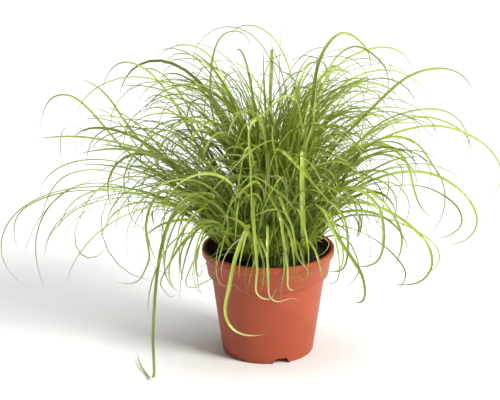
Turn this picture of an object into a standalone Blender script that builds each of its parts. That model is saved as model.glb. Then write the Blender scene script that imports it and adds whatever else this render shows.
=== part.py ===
"""Potted cat grass: a nursery pot of terracotta-coloured plastic, the soil in it, and the plant as tufts.

Frame: metres, +Z up. The origin is the middle of the pot's foot, on the surface that it stands on.
+X is the right-hand side of the plant and -Y is its front. A heading of 0 degrees runs along +X
and 90 degrees along +Y. Each tuft is one flat sheath with up to three keeled blades that grow from it.
"""

import math
from dataclasses import dataclass, replace

import bmesh
import bpy
import numpy as np
from mathutils.kdtree import KDTree

MM = 0.001
SEED = 12
POT_COLOUR = (0.46, 0.09, 0.042)
SOIL_COLOUR = (0.022, 0.016, 0.012)
BLADE_COLOUR = (0.27, 0.43, 0.04)

# The pot, as heights above the foot and outer radii
POT_HEIGHT = 99.0 * MM
LIP_RADIUS = 60.0 * MM
LIP_BOTTOM = 93.0 * MM
LIP_THICKNESS = 3.4 * MM
COLLAR_TOP_RADIUS = 57.2 * MM
COLLAR_TOP = 90.0 * MM
COLLAR_BOTTOM_RADIUS = 54.8 * MM
COLLAR_BOTTOM = 75.0 * MM
STEP_BOTTOM = 70.5 * MM
WALL_FOOT_RADIUS = 41.0 * MM
WALL_SLOPE = 0.143
WALL = 1.3 * MM
FOOT_ROUND = 1.6 * MM
LIP_ROUND = 0.9 * MM
WALL_LAG = 0.4 * MM
POT_SEGMENTS = 40

# The pot's floor: a raised channel round a centre pad that stands on the table like the foot
CHANNEL_HEIGHT = 6.2 * MM
PAD_RADIUS = 18.5 * MM
PAD_SLOPE = 3.0 * MM
DRAIN_HOLES = 6
DRAIN_RADIUS = 3.5 * MM
DRAIN_CIRCLE = 30.0 * MM
DRAIN_SIDES = 12
NOTCHES = 3
FIRST_NOTCH = -73.0
NOTCH_WIDTH = 16.6 * MM
NOTCH_TOP_WIDTH = 9.8 * MM
NOTCH_HEIGHT = 5.4 * MM
NOTCH_FROM = 29.5 * MM
CUT_PAST = 2.0 * MM

# The soil
GAP = 0.3 * MM
SOIL_GAP = 0.5 * MM
SOIL_TOP = 90.0 * MM
SOIL_RADIUS = 55.0 * MM
LEVEL_RADIUS = 37.0 * MM
SOIL_LUMP = 1.2 * MM
SOIL_SEGMENTS = 24
SOIL_RINGS = 5

# The plant
CROWN_RADIUS = 33.0 * MM
TUFT_PITCH = 8.6 * MM
SPREAD_STEPS = 80
SPREAD_SHARE = 0.25
SHEATH_BLADES = 3
SHEATH_LENGTH = 9.0 * MM
SHEATH_DEPTH = 1.8 * MM
ROOT_PITCH = 2.1 * MM
ROOT_WIDTH = 0.5
FULL_WIDTH_FROM = 0.25
TAPER_POWERS = (2.4, 0.8)
KEEL_SHARE = 0.34
LEAST_KEEL = 0.45 * MM
BLADE_SEGMENTS = 11
TIP_CROWDING = 0.8
PIECE_STEPS = 24
PATH_STEPS = 96
CLEARANCE = 0.4 * MM
SAMPLE_PITCH = 2.4 * MM
SHARED_START = 14.0 * MM
LEAST_HEIGHT = 1.2 * MM
NUDGE = 0.4
MOST_TRIES = 400
SIDE_TRIES = 100
SIDE_LOWEST = 74.0
SIDE_REACH = (0.72, 1.04)
SIDE_HEIGHT = (0.62, 1.02)
SIDE_TURN = (9.0, 32.0)
SIDE_WIDTH = (0.7, 0.95)
SIDE_TWIST = (-50.0, 50.0)


@dataclass(frozen=True)
class Blade:
    """A blade that leaves the soil and passes through points measured on the plant.

    heading is the way that it grows, in degrees, foot how far its foot is from the pot's axis, in mm, and
    rise the slope of its foot, in degrees. Each point of through is (out, up) or (out, up, turn): the
    distance from the axis and the height, in mm, in the plane of the heading, turned by turn in degrees.
    width is the blade's full width in mm, and twist is how far it turns about itself by its tip, in degrees.
    """

    heading: float
    foot: float
    rise: float
    width: float
    through: tuple
    twist: float = 25.0


# One entry for each tuft: its middle blade
TUFTS = (
    # Left: blades that reach out and arch over, and long ones that droop
    Blade(172, 18, 54, 4.2, ((64, 158), (142, 192), (183, 195), (215, 191))),
    Blade(168, 27, 44, 4.0, ((80, 147), (138, 187), (176, 226), (193, 231), (207, 215), (215, 190))),
    Blade(160, 16, 66, 3.6, ((61, 174), (95, 232), (120, 255), (137, 259), (152, 249), (162, 202))),
    Blade(
        186, 29, 42, 2.8,
        ((71, 131), (115, 156), (152, 161), (206, 152), (238, 121), (235, 85), (211, 64)),
    ),
    Blade(194, 30, 44, 2.4, ((72, 132), (126, 164), (178, 169), (208, 138), (211, 98), (205, 74))),
    Blade(178, 30, 44, 2.6, ((66, 137), (133, 177), (178, 176), (201, 160), (208, 141))),
    Blade(190, 26, 46, 2.4, ((71, 142), (116, 166), (152, 180), (187, 173), (204, 141), (208, 127))),
    Blade(203, 24, 50, 2.6, ((66, 146), (113, 178), (146, 181), (174, 161), (181, 141))),
    Blade(215, 22, 62, 3.2, ((60, 156), (103, 178), (128, 158), (128, 129), (119, 105))),
    Blade(
        219, 31, 52, 3.8,
        ((70, 146), (95, 163), (117, 135), (129, 75), (131, 12), (131, 1.4), (125, 1, -14), (120, 1, -30)),
        twist=8.0,
    ),
    Blade(232, 30, 60, 2.6, ((70, 143), (92, 160), (118, 150), (136, 128), (140, 108), (126, 92))),
    Blade(225, 20, 64, 2.4, ((66, 150), (96, 162), (122, 138), (127, 104), (114, 84))),
    # Top: steep blades that curl over at the tip
    Blade(150, 14, 80, 2.6, ((29, 214), (48, 253), (65, 272), (90, 275), (113, 263), (125, 248))),
    Blade(165, -16, 84, 2.6, ((-24, 220), (-16, 275), (-1, 297), (20, 304), (34, 296), (38, 284))),
    Blade(15, -13, 84, 2.4, ((-50, 222), (-52, 273), (-45, 295), (-34, 303), (-23, 299), (-15, 284))),
    Blade(80, -6, 86, 3.0, ((-12, 219), (-24, 262), (-29, 296))),
    Blade(140, 20, 76, 2.4, ((39, 216), (63, 251), (92, 262), (117, 255), (124, 240), (112, 228))),
    Blade(28, 14, 80, 3.8, ((33, 157), (46, 240), (62, 282), (78, 289), (92, 280), (104, 262), (105, 246))),
    Blade(40, 20, 72, 2.6, ((44, 201), (79, 252), (116, 262), (152, 257), (170, 243), (178, 226))),
    # Right: blades that reach out and curl down
    Blade(14, 16, 66, 3.4, ((54, 178), (98, 224), (136, 252), (156, 255), (178, 249), (193, 229))),
    Blade(
        12, 26, 58, 2.4,
        ((64, 166), (112, 213), (140, 219), (159, 218), (176, 207), (186, 190), (181, 166)),
    ),
    Blade(
        4, 28, 56, 2.8,
        ((64, 166), (118, 205), (156, 209), (188, 196), (209, 172), (209, 150), (199, 137)),
    ),
    Blade(0, 14, 64, 3.8, ((54, 164), (91, 196), (115, 190), (139, 134), (149, 124))),
    Blade(-5, 26, 56, 3.6, ((64, 156), (100, 203), (126, 203), (144, 185), (157, 162))),
    Blade(
        -8, 31, 52, 3.4,
        ((58, 136), (86, 162), (115, 174), (148, 174), (176, 156), (188, 130), (174, 111), (159, 107)),
    ),
    Blade(-20, 24, 58, 3.4, ((56, 149), (91, 164), (113, 148), (126, 120), (118, 91))),
    Blade(
        -25, 31, 50, 3.4,
        ((54, 132), (80, 152), (117, 149), (148, 130), (159, 110), (148, 88), (116, 82)),
    ),
    Blade(-35, 26, 60, 3.6, ((54, 146), (87, 171), (113, 163), (123, 135), (116, 108), (88, 98))),
    Blade(-48, 30, 64, 3.8, ((52, 134), (68, 143), (100, 123), (125, 93), (120, 77), (102, 84))),
    Blade(-58, 22, 66, 3.0, ((56, 148), (81, 161), (102, 148), (115, 118), (110, 99), (90, 93))),
    # Front: blades that fall over the lip
    Blade(
        245, 28, 74, 3.8,
        (
            (42, 134, 4), (60, 130, 4), (75, 102), (79, 80, -2),
            (79, 60, -4), (77, 45, 2), (73, 40, 12), (71, 41, 23),
        ),
        twist=6.0,
    ),
    Blade(
        262, 27, 76, 3.6,
        ((42, 158, -8), (56, 164, -6), (69, 128, -2), (75, 95), (75, 76, 3), (74, 76, 9), (74, 88, 14)),
        twist=6.0,
    ),
    Blade(269, 31, 74, 2.8, ((48, 136), (62, 128), (72, 106), (75, 87)), twist=6.0),
    Blade(288, 29, 76, 2.8, ((46, 136), (62, 130), (73, 106), (74, 86)), twist=6.0),
    Blade(300, 15, 80, 4.0, ((24, 170, -30), (38, 204, -24), (66, 190, -4), (99, 161, 6)), twist=10.0),
    Blade(307, 32, 66, 2.6, ((48, 121), (64, 118), (76, 101), (74, 83, 5)), twist=6.0),
    # Back: the same fountain, seen only from behind
    Blade(60, 24, 66, 3.0, ((52, 178), (88, 226), (124, 238), (152, 214), (160, 180))),
    Blade(88, 18, 72, 3.2, ((40, 188), (70, 238), (104, 254), (138, 234), (152, 196))),
    Blade(112, 25, 64, 3.0, ((56, 172), (94, 216), (132, 224), (162, 198), (172, 158))),
    Blade(135, 30, 54, 3.0, ((64, 156), (108, 194), (150, 198), (180, 172), (188, 132))),
    Blade(100, 31, 50, 2.8, ((62, 142), (104, 172), (144, 172), (172, 144), (176, 104))),
    Blade(72, 31, 50, 2.8, ((62, 142), (102, 168), (140, 164), (164, 134), (162, 98))),
    Blade(45, 30, 54, 3.0, ((64, 154), (106, 190), (146, 192), (174, 164), (180, 124))),
)


def ground_plan(out, degrees):
    """A level position from its distance to the axis and its bearing."""
    angle = math.radians(degrees)
    return np.array([out * math.cos(angle), out * math.sin(angle)])


def growth(blade):
    """The way that a blade leaves the soil, as a unit vector."""
    rise = math.radians(blade.rise)
    return np.array([*ground_plan(math.cos(rise), blade.heading), math.sin(rise)])


def spread_feet():
    """Where each tuft stands: its own place in the crown, moved away from those that stand too near."""
    feet = np.array([ground_plan(blade.foot * MM, blade.heading) for blade in TUFTS])
    for _ in range(SPREAD_STEPS):
        apart = feet[:, None, :] - feet[None, :, :]
        distance = np.linalg.norm(apart, axis=2) + np.eye(len(feet))
        push = np.clip(TUFT_PITCH - distance, 0.0, None) * (1.0 - np.eye(len(feet)))
        feet = feet + np.sum(apart / distance[:, :, None] * push[:, :, None], axis=1) * SPREAD_SHARE
        out = np.linalg.norm(feet, axis=1)[:, None]
        feet = feet * np.minimum(1.0, CROWN_RADIUS / np.maximum(out, MM))
    return feet


def smooth_path(points, first):
    """Equal steps along the smooth curve through points that starts in the direction first.

    It is the cubic curve whose bends join without a jump and whose end is free of bending.
    """
    gaps = np.linalg.norm(np.diff(points, axis=0), axis=1)
    last = len(points) - 1
    rows = np.zeros((last + 1, last + 1))
    wanted = np.zeros((last + 1, 3))
    rows[0, 0], wanted[0] = 1.0, first
    for i in range(1, last):
        rows[i, i - 1 : i + 2] = 1.0 / gaps[i - 1], 2.0 / gaps[i - 1] + 2.0 / gaps[i], 1.0 / gaps[i]
        before, after = points[i] - points[i - 1], points[i + 1] - points[i]
        wanted[i] = 3.0 * (before / gaps[i - 1] ** 2 + after / gaps[i] ** 2)
    rows[last, last - 1 :] = 1.0, 2.0
    wanted[last] = 3.0 * (points[last] - points[last - 1]) / gaps[-1]
    slopes = np.linalg.solve(rows, wanted)
    s = np.linspace(0.0, 1.0, PIECE_STEPS, endpoint=False)[:, None]
    pieces = [
        points[i] * (1 + 2 * s) * (1 - s) ** 2
        + slopes[i] * gaps[i] * s * (1 - s) ** 2
        + points[i + 1] * s**2 * (3 - 2 * s)
        - slopes[i + 1] * gaps[i] * s**2 * (1 - s)
        for i in range(last)
    ]
    fine = np.vstack([*pieces, points[-1:]])
    along = np.concatenate([[0.0], np.cumsum(np.linalg.norm(np.diff(fine, axis=0), axis=1))])
    even = np.linspace(0.0, along[-1], PATH_STEPS + 1)
    return np.stack([np.interp(even, along, fine[:, k]) for k in range(3)], axis=1)


def blade_frames(blade, start):
    """Points along a blade's middle from start, with its direction, side and upper-face vectors.

    The side vector starts level and square to the heading, keeps square to the path as the path bends,
    and is turned about the blade by its twist, which grows with the share of the length.
    """
    points = [start]
    for out, up, *turn in blade.through:
        plan = ground_plan(out, blade.heading + sum(turn))
        points.append(np.array([*plan, up]) * MM)
    points = smooth_path(np.array(points), growth(blade))
    points[:, 2] = np.maximum(points[:, 2], LEAST_HEIGHT)
    directions = np.gradient(points, axis=0)
    directions /= np.linalg.norm(directions, axis=1)[:, None]
    angle = math.radians(blade.heading)
    flat = [np.array([-math.sin(angle), math.cos(angle), 0.0])]
    for direction in directions:
        level = flat[-1] - direction * np.dot(flat[-1], direction)
        flat.append(level / np.linalg.norm(level))
    flat = np.array(flat[1:])
    upper = np.cross(directions, flat)
    turn = np.radians(blade.twist * np.linspace(0.0, 1.0, PATH_STEPS + 1))[:, None]
    side = flat * np.cos(turn) + upper * np.sin(turn)
    return points, directions, side, np.cross(directions, side)


def blade_width(blade, t):
    """Width at the share t of the length: narrow at the sheath, full by a quarter, tapered at the tip."""
    foot = ROOT_WIDTH + (1.0 - ROOT_WIDTH) * np.clip(t / FULL_WIDTH_FROM, 0.0, 1.0)
    return blade.width * MM * foot * (1.0 - t ** TAPER_POWERS[0]) ** TAPER_POWERS[1]


def pot_radius(height):
    """The pot's outer radius at a height, along its wall, step, collar and lip."""
    heights = [0.0, STEP_BOTTOM, COLLAR_BOTTOM, COLLAR_TOP, LIP_BOTTOM, POT_HEIGHT]
    radii = [
        WALL_FOOT_RADIUS,
        WALL_FOOT_RADIUS + WALL_SLOPE * STEP_BOTTOM,
        COLLAR_BOTTOM_RADIUS,
        COLLAR_TOP_RADIUS,
        LIP_RADIUS,
        LIP_RADIUS,
    ]
    return np.interp(height, heights, radii)


def clear_of_pot(points, reach):
    """Whether points, each with a reach round it, stay off the pot, its soil and the table."""
    radius, height = np.hypot(points[:, 0], points[:, 1]), points[:, 2]
    inside = radius < LIP_RADIUS - LIP_THICKNESS - reach - CLEARANCE
    over_soil = inside & (height > SOIL_TOP + reach + CLEARANCE)
    outside = radius > pot_radius(height) + reach + CLEARANCE
    above = height > POT_HEIGHT + reach + CLEARANCE
    return bool(np.all((over_soil | outside | above) & (height > LEAST_HEIGHT / 2)))


def samples_of(blade, start):
    """(points, reach) along a blade, close enough together to test its distance from others."""
    points = blade_frames(blade, start)[0]
    length = np.sum(np.linalg.norm(np.diff(points, axis=0), axis=1))
    t = np.linspace(0.0, 1.0, int(length / SAMPLE_PITCH))
    path = np.linspace(0.0, 1.0, PATH_STEPS + 1)
    points = np.stack([np.interp(t, path, points[:, k]) for k in range(3)], axis=1)
    return points, blade_width(blade, t) / 2 + SAMPLE_PITCH / 4


class Placed:
    """The samples of all the sheaths and blades placed so far, in a search tree."""

    def __init__(self):
        self.points, self.reach, self.owner = np.empty((0, 3)), np.empty(0), np.empty(0, dtype=int)
        self.tree = KDTree(0)
        self.tree.balance()

    def add(self, points, reach, tuft):
        """Adds the samples of a piece of the tuft with that number."""
        self.points = np.vstack([self.points, points])
        self.reach = np.concatenate([self.reach, reach])
        self.owner = np.concatenate([self.owner, np.full(len(points), tuft)])
        self.tree = KDTree(len(self.points))
        for index, point in enumerate(self.points.tolist()):
            self.tree.insert(point, index)
        self.tree.balance()

    def crossed_by(self, points, reach, tuft, start):
        """Whether any sample of a blade lies nearer to a placed one than their reaches allow.

        The first few millimetres of a blade aren't tested against its own tuft, whose sheath it shares.
        """
        widest = float(self.reach.max()) + CLEARANCE
        free = np.linalg.norm(points - start, axis=1) < SHARED_START
        for point, radius, near_start in zip(points.tolist(), reach.tolist(), free.tolist()):
            for _, index, distance in self.tree.find_range(point, radius + widest):
                shared = near_start and self.owner[index] == tuft
                if not shared and distance < radius + self.reach[index] + CLEARANCE:
                    return True
        return False


def settled(placed, tuft, own_start, start, options):
    """The first of the options that touches nothing placed so far, or None. It is added to placed."""
    for option in options:
        points, reach = samples_of(option, start)
        if clear_of_pot(points, reach) and not placed.crossed_by(points, reach, tuft, own_start):
            placed.add(points, reach, tuft)
            return option
    return None


def nudged(blade):
    """A tuft's middle blade as it is wanted, and then turned to either side by growing small steps."""
    for step in range(MOST_TRIES):
        amount = NUDGE * ((step + 1) // 2) * (-1) ** step
        yield replace(blade, heading=blade.heading + amount)


def varied(blade, side, rng):
    """Side blades: turned to one side of the middle one, and wider, lower and shorter by chance.

    A side blade ends where the middle one would take it below SIDE_LOWEST.
    """
    for _ in range(SIDE_TRIES):
        reach, height = rng.uniform(*SIDE_REACH), rng.uniform(*SIDE_HEIGHT)
        kept = max(2, len(blade.through) - rng.integers(0, 3))
        through = []
        for out, up, *turn in blade.through[:kept]:
            raised = SOIL_TOP / MM + (up - SOIL_TOP / MM) * height
            if raised < SIDE_LOWEST:
                break
            through.append((out * reach, raised, *turn))
        yield replace(
            blade,
            heading=blade.heading + side * rng.uniform(*SIDE_TURN),
            width=blade.width * rng.uniform(*SIDE_WIDTH),
            twist=rng.uniform(*SIDE_TWIST),
            through=tuple(through),
        )


def grown_tufts():
    """For each tuft, its foot and its blades by their place in it, with room between them all.

    The middle blades (place 0) come first, because they give the plant its outline. Then a blade on
    either side (places 1 and -1) takes the first draw that fits, or is left out where none does.
    """
    rng = np.random.default_rng(SEED)
    placed = Placed()
    starts = []
    for tuft, (wanted, foot) in enumerate(zip(TUFTS, spread_feet())):
        foot = np.array([*foot, SOIL_TOP + GAP])
        starts.append(foot + SHEATH_LENGTH * growth(wanted))
        sheath = foot + np.linspace(0.0, 1.0, SHEATH_BLADES + 1)[:, None] * (starts[-1] - foot)
        placed.add(sheath, np.full(len(sheath), SHEATH_BLADES / 2 * ROOT_PITCH), tuft)
    tufts = []
    for tuft, (wanted, start) in enumerate(zip(TUFTS, starts)):
        blade = settled(placed, tuft, start, start, nudged(wanted))
        if blade is None:
            raise ValueError(f"no room for the blade of heading {wanted.heading} and foot {wanted.foot}")
        tufts.append((start, {0: blade}))
    for tuft, (start, fan) in enumerate(tufts):
        across = blade_frames(fan[0], start)[2][0]
        for side in (1, -1):
            place = start + side * ROOT_PITCH * across
            blade = settled(placed, tuft, start, place, varied(fan[0], side, rng))
            if blade is not None:
                fan[side] = blade
    return tufts


def material(name, colour, roughness):
    """A plain finish: base colour, roughness and no metal."""
    made = bpy.data.materials.new(name)
    made.use_nodes = True
    shader = made.node_tree.nodes["Principled BSDF"]
    shader.inputs["Base Color"].default_value = (*colour, 1.0)
    shader.inputs["Roughness"].default_value = roughness
    shader.inputs["Metallic"].default_value = 0.0
    made.diffuse_color = (*colour, 1.0)
    return made


def object_of(name, bm, finish, smooth_below=None):
    """A named object from a bmesh, shaded smooth up to an angle in degrees if one is given."""
    bmesh.ops.recalc_face_normals(bm, faces=bm.faces)
    mesh = bpy.data.meshes.new(name)
    bm.to_mesh(mesh)
    bm.free()
    mesh.materials.append(finish)
    if smooth_below is not None:
        mesh.shade_smooth()
        mesh.set_sharp_from_angle(angle=math.radians(smooth_below))
    made = bpy.data.objects.new(name, mesh)
    bpy.context.scene.collection.objects.link(made)
    return made


def turned(bm, profile, segments):
    """Turns a profile of (radius, height) points about Z, from the axis and back to it."""
    rings = []
    for radius, height in profile:
        if radius == 0.0:
            rings.append([bm.verts.new((0.0, 0.0, height))])
            continue
        ring = []
        for k in range(segments):
            ring.append(bm.verts.new((*ground_plan(radius, 360.0 * k / segments), height)))
        rings.append(ring)
    for low, high in zip(rings, rings[1:]):
        for k in range(segments):
            after = k + 1
            corners = low[k % len(low)], low[after % len(low)], high[after % len(high)], high[k % len(high)]
            bm.faces.new(list(dict.fromkeys(corners)))
    return rings


def pot_profile():
    """The pot's section: up the outside, over the lip, down the inside and under the floor."""
    foot_out = WALL_FOOT_RADIUS - FOOT_ROUND
    foot_in = WALL_FOOT_RADIUS + WALL_SLOPE * CHANNEL_HEIGHT - 2.0 * WALL
    step_radius = WALL_FOOT_RADIUS + WALL_SLOPE * STEP_BOTTOM
    floor_top = CHANNEL_HEIGHT + WALL
    floor_edge = WALL_FOOT_RADIUS + WALL_SLOPE * floor_top - WALL
    return [
        (0.0, 0.0),
        (PAD_RADIUS, 0.0),
        (PAD_RADIUS + PAD_SLOPE, CHANNEL_HEIGHT),
        (foot_in, CHANNEL_HEIGHT),
        (foot_out - WALL, 0.0),
        (foot_out, 0.0),
        (WALL_FOOT_RADIUS + WALL_SLOPE * FOOT_ROUND, FOOT_ROUND),
        (step_radius, STEP_BOTTOM),
        (COLLAR_BOTTOM_RADIUS, COLLAR_BOTTOM),
        (COLLAR_TOP_RADIUS, COLLAR_TOP),
        (LIP_RADIUS, LIP_BOTTOM),
        (LIP_RADIUS, POT_HEIGHT - LIP_ROUND),
        (LIP_RADIUS - LIP_ROUND, POT_HEIGHT),
        (LIP_RADIUS - LIP_THICKNESS + LIP_ROUND, POT_HEIGHT),
        (LIP_RADIUS - LIP_THICKNESS, POT_HEIGHT - LIP_ROUND),
        (COLLAR_TOP_RADIUS - WALL, COLLAR_TOP),
        (COLLAR_BOTTOM_RADIUS - WALL, COLLAR_BOTTOM + WALL_LAG),
        (step_radius - WALL, STEP_BOTTOM + WALL_LAG),
        (floor_edge, floor_top),
        (PAD_RADIUS + PAD_SLOPE - WALL / 2, floor_top),
        (PAD_RADIUS - WALL / 2, WALL),
        (0.0, WALL),
    ]


def cutter(name, bm):
    """A helper that only cuts: it isn't rendered and shows as wires."""
    made = object_of(name, bm, material(name, (1.0, 0.0, 0.0), 0.5))
    made.hide_render = True
    made.display_type = "WIRE"
    return made


def notch_cutter(angle):
    """A tapered block across the foot ring, at an angle in degrees."""
    bm = bmesh.new()
    foot_width = NOTCH_WIDTH + (NOTCH_WIDTH - NOTCH_TOP_WIDTH) * CUT_PAST / NOTCH_HEIGHT
    section = [
        (-foot_width / 2, -CUT_PAST),
        (foot_width / 2, -CUT_PAST),
        (NOTCH_TOP_WIDTH / 2, NOTCH_HEIGHT),
        (-NOTCH_TOP_WIDTH / 2, NOTCH_HEIGHT),
    ]
    along = (NOTCH_FROM, LIP_RADIUS)
    ends = [[bm.verts.new((reach, across, height)) for across, height in section] for reach in along]
    for k in range(4):
        bm.faces.new([ends[0][k], ends[0][(k + 1) % 4], ends[1][(k + 1) % 4], ends[1][k]])
    bm.faces.new(ends[0])
    bm.faces.new(ends[1])
    made = cutter("notch_cutter", bm)
    made.rotation_euler.z = math.radians(angle)
    return made


def drain_cutter(angle):
    """A short rod through the channel's floor, at an angle in degrees."""
    bm = bmesh.new()
    bmesh.ops.create_cone(
        bm,
        cap_ends=True,
        segments=DRAIN_SIDES,
        radius1=DRAIN_RADIUS,
        radius2=DRAIN_RADIUS,
        depth=WALL + 2.0 * CUT_PAST,
    )
    made = cutter("drain_cutter", bm)
    made.location = (*ground_plan(DRAIN_CIRCLE, angle), CHANNEL_HEIGHT + WALL / 2)
    return made


def make_pot():
    """The pot: one moulded piece with a collar, a lip, a notched foot and a drained floor."""
    bm = bmesh.new()
    turned(bm, pot_profile(), POT_SEGMENTS)
    pot = object_of("pot", bm, material("terracotta_plastic", POT_COLOUR, 0.45), smooth_below=32)
    cutters = [notch_cutter(FIRST_NOTCH + 360.0 * k / NOTCHES) for k in range(NOTCHES)]
    cutters += [drain_cutter(FIRST_NOTCH + 360.0 * (k + 0.5) / DRAIN_HOLES) for k in range(DRAIN_HOLES)]
    for tool in cutters:
        cut = pot.modifiers.new(tool.name, "BOOLEAN")
        cut.operation = "DIFFERENCE"
        cut.object = tool
    return pot


def soil_drop(radius, angle):
    """How far the soil's surface lies below SOIL_TOP: uneven at the pot's wall, nothing in the crown."""
    share = min(1.0, max(0.0, (radius - LEVEL_RADIUS) / (SOIL_RADIUS - LEVEL_RADIUS)))
    return share * SOIL_LUMP * (1.0 + 0.6 * math.sin(3.0 * angle + 0.7) + 0.4 * math.sin(7.0 * angle))


def make_soil():
    """The root ball: it fills the pot from the floor to just under the lip."""
    floor_top = CHANNEL_HEIGHT + WALL + GAP
    floor_edge = WALL_FOOT_RADIUS + WALL_SLOPE * floor_top - WALL
    step_radius = WALL_FOOT_RADIUS + WALL_SLOPE * STEP_BOTTOM
    side = [
        (0.0, WALL + GAP),
        (PAD_RADIUS - WALL, WALL + GAP),
        (PAD_RADIUS + PAD_SLOPE - WALL, floor_top),
        (floor_edge - SOIL_GAP, floor_top),
        (step_radius - WALL - SOIL_GAP, STEP_BOTTOM + 2.0 * WALL_LAG),
        (COLLAR_BOTTOM_RADIUS - WALL - SOIL_GAP, COLLAR_BOTTOM + 2.0 * WALL_LAG),
    ]
    surface = [(SOIL_RADIUS * (1.0 - k / SOIL_RINGS), SOIL_TOP) for k in range(SOIL_RINGS + 1)]
    bm = bmesh.new()
    rings = turned(bm, side + surface, SOIL_SEGMENTS)
    for ring in rings[len(side) :]:
        for vertex in ring:
            radius, angle = math.hypot(vertex.co.x, vertex.co.y), math.atan2(vertex.co.y, vertex.co.x)
            vertex.co.z -= soil_drop(radius, angle)
    return object_of("soil", bm, material("peat_soil", SOIL_COLOUR, 0.95))


def sections(blade, start):
    """Rings of left edge, keel and right edge along a blade past its root, and the tip point.

    The rings lie closer together towards the tip, where the blade curls.
    """
    points, _, side, upper = blade_frames(blade, start)
    path = np.linspace(0.0, 1.0, PATH_STEPS + 1)
    t = (np.arange(1, BLADE_SEGMENTS + 1) / BLADE_SEGMENTS) ** TIP_CROWDING
    at, across, up = (
        np.stack([np.interp(t, path, values[:, k]) for k in range(3)], axis=1)
        for values in (points, side, upper)
    )
    across /= np.linalg.norm(across, axis=1)[:, None]
    up /= np.linalg.norm(up, axis=1)[:, None]
    half = blade_width(blade, t)[:, None] / 2
    keel = np.maximum(2.0 * half * KEEL_SHARE, LEAST_KEEL)
    rings = np.stack([at - across * half, at - up * keel, at + across * half], axis=1)
    return rings[:-1], at[-1]


def make_tuft(name, start, fan, finish):
    """One tuft: a flat sheath that stands on the soil, and its blades side by side on top of it."""
    _, directions, side, upper = blade_frames(fan[0], start)
    growth_way, across, up = directions[0], side[0], upper[0]
    places = sorted(fan)
    count = len(places)
    bm = bmesh.new()
    edges = [places[0] - 0.5 + k for k in range(count + 1)]
    back = [bm.verts.new(start + across * ROOT_PITCH * edge) for edge in edges]
    front = [bm.verts.new(start + across * ROOT_PITCH * k - up * SHEATH_DEPTH) for k in places]
    outline = back + front[::-1]
    foot = []
    for vertex in outline:
        down = (vertex.co.z - (SOIL_TOP + GAP)) / growth_way[2]
        foot.append(bm.verts.new(np.array(vertex.co) - growth_way * down))
    for k in range(len(outline)):
        following = (k + 1) % len(outline)
        bm.faces.new([foot[k], foot[following], outline[following], outline[k]])
    bm.faces.new(foot)
    for k in range(count - 1):
        bm.faces.new([front[k], back[k + 1], front[k + 1]])
    for k, place in enumerate(places):
        rings, tip = sections(fan[place], start + across * ROOT_PITCH * place)
        last = [back[k], front[k], back[k + 1]]
        for ring in rings:
            new = [bm.verts.new(corner) for corner in ring]
            for j in range(3):
                bm.faces.new([last[j], last[(j + 1) % 3], new[(j + 1) % 3], new[j]])
            last = new
        end = bm.verts.new(tip)
        for j in range(3):
            bm.faces.new([last[j], last[(j + 1) % 3], end])
    bmesh.ops.triangulate(bm, faces=bm.faces)
    return object_of(name, bm, finish)


def main():
    """Clears the scene and builds the pot, the soil and the tufts."""
    for old in list(bpy.data.objects):
        bpy.data.objects.remove(old)
    make_pot()
    make_soil()
    green = material("grass_blade", BLADE_COLOUR, 0.42)
    for number, (start, fan) in enumerate(grown_tufts(), start=1):
        make_tuft(f"tuft_{number:02d}", start, fan, green)


if __name__ == "__main__":
    main()
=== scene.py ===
"""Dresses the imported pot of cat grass: moulded pot, peat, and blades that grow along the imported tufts.

Lengths are in metres and angles in degrees unless a name says otherwise. +Z is up and -Y is the front.
"""

import logging
import math
from dataclasses import dataclass, field
from enum import Enum

import bpy
import numpy as np
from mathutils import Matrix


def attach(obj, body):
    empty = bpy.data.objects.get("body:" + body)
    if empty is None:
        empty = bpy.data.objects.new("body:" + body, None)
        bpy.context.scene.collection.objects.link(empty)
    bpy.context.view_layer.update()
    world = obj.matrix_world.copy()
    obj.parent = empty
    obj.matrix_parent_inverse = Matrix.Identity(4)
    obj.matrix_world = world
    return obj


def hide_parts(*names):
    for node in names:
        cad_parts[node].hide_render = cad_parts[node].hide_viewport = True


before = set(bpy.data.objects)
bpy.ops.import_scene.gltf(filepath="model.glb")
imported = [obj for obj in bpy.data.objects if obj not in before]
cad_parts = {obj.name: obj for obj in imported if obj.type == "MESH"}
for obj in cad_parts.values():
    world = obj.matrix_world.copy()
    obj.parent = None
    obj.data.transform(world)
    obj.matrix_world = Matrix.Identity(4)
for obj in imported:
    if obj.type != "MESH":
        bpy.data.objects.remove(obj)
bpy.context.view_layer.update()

MM = 0.001
BODY = "root"
# Share of a side that a rounded corner may take
MOST_ROUNDED = 0.45
# Cells to a side after which the lattice of noise repeats
LATTICE = 64
log = logging.getLogger("cat_grass")


class Slot(Enum):
    """The record's material slots."""

    POT = "terracotta_plastic"
    SOIL = "peat_soil"
    GRASS = "grass_blade"


# Shapes


def unit(vectors: np.ndarray) -> np.ndarray:
    """Vectors at length 1, where the last axis holds x, y and z."""
    return vectors / np.maximum(np.linalg.norm(vectors, axis=-1, keepdims=True), 1e-12)


def running(values: np.ndarray) -> np.ndarray:
    """Running sums along the second axis, with a 0 before the first."""
    return np.concatenate([np.zeros_like(values[:, :1]), np.cumsum(values, axis=1)], axis=1)


def polar(radius: np.ndarray, angle: np.ndarray, height: np.ndarray) -> np.ndarray:
    """Points from their distance to the Z axis, bearing in radians and height."""
    return np.stack(np.broadcast_arrays(radius * np.cos(angle), radius * np.sin(angle), height), axis=-1)


def turned(first: np.ndarray, second: np.ndarray, angle: np.ndarray) -> tuple[np.ndarray, np.ndarray]:
    """Two coordinates turned in their plane by an angle in radians, from the first to the second."""
    cosine, sine = np.cos(angle), np.sin(angle)
    return first * cosine - second * sine, first * sine + second * cosine


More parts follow.
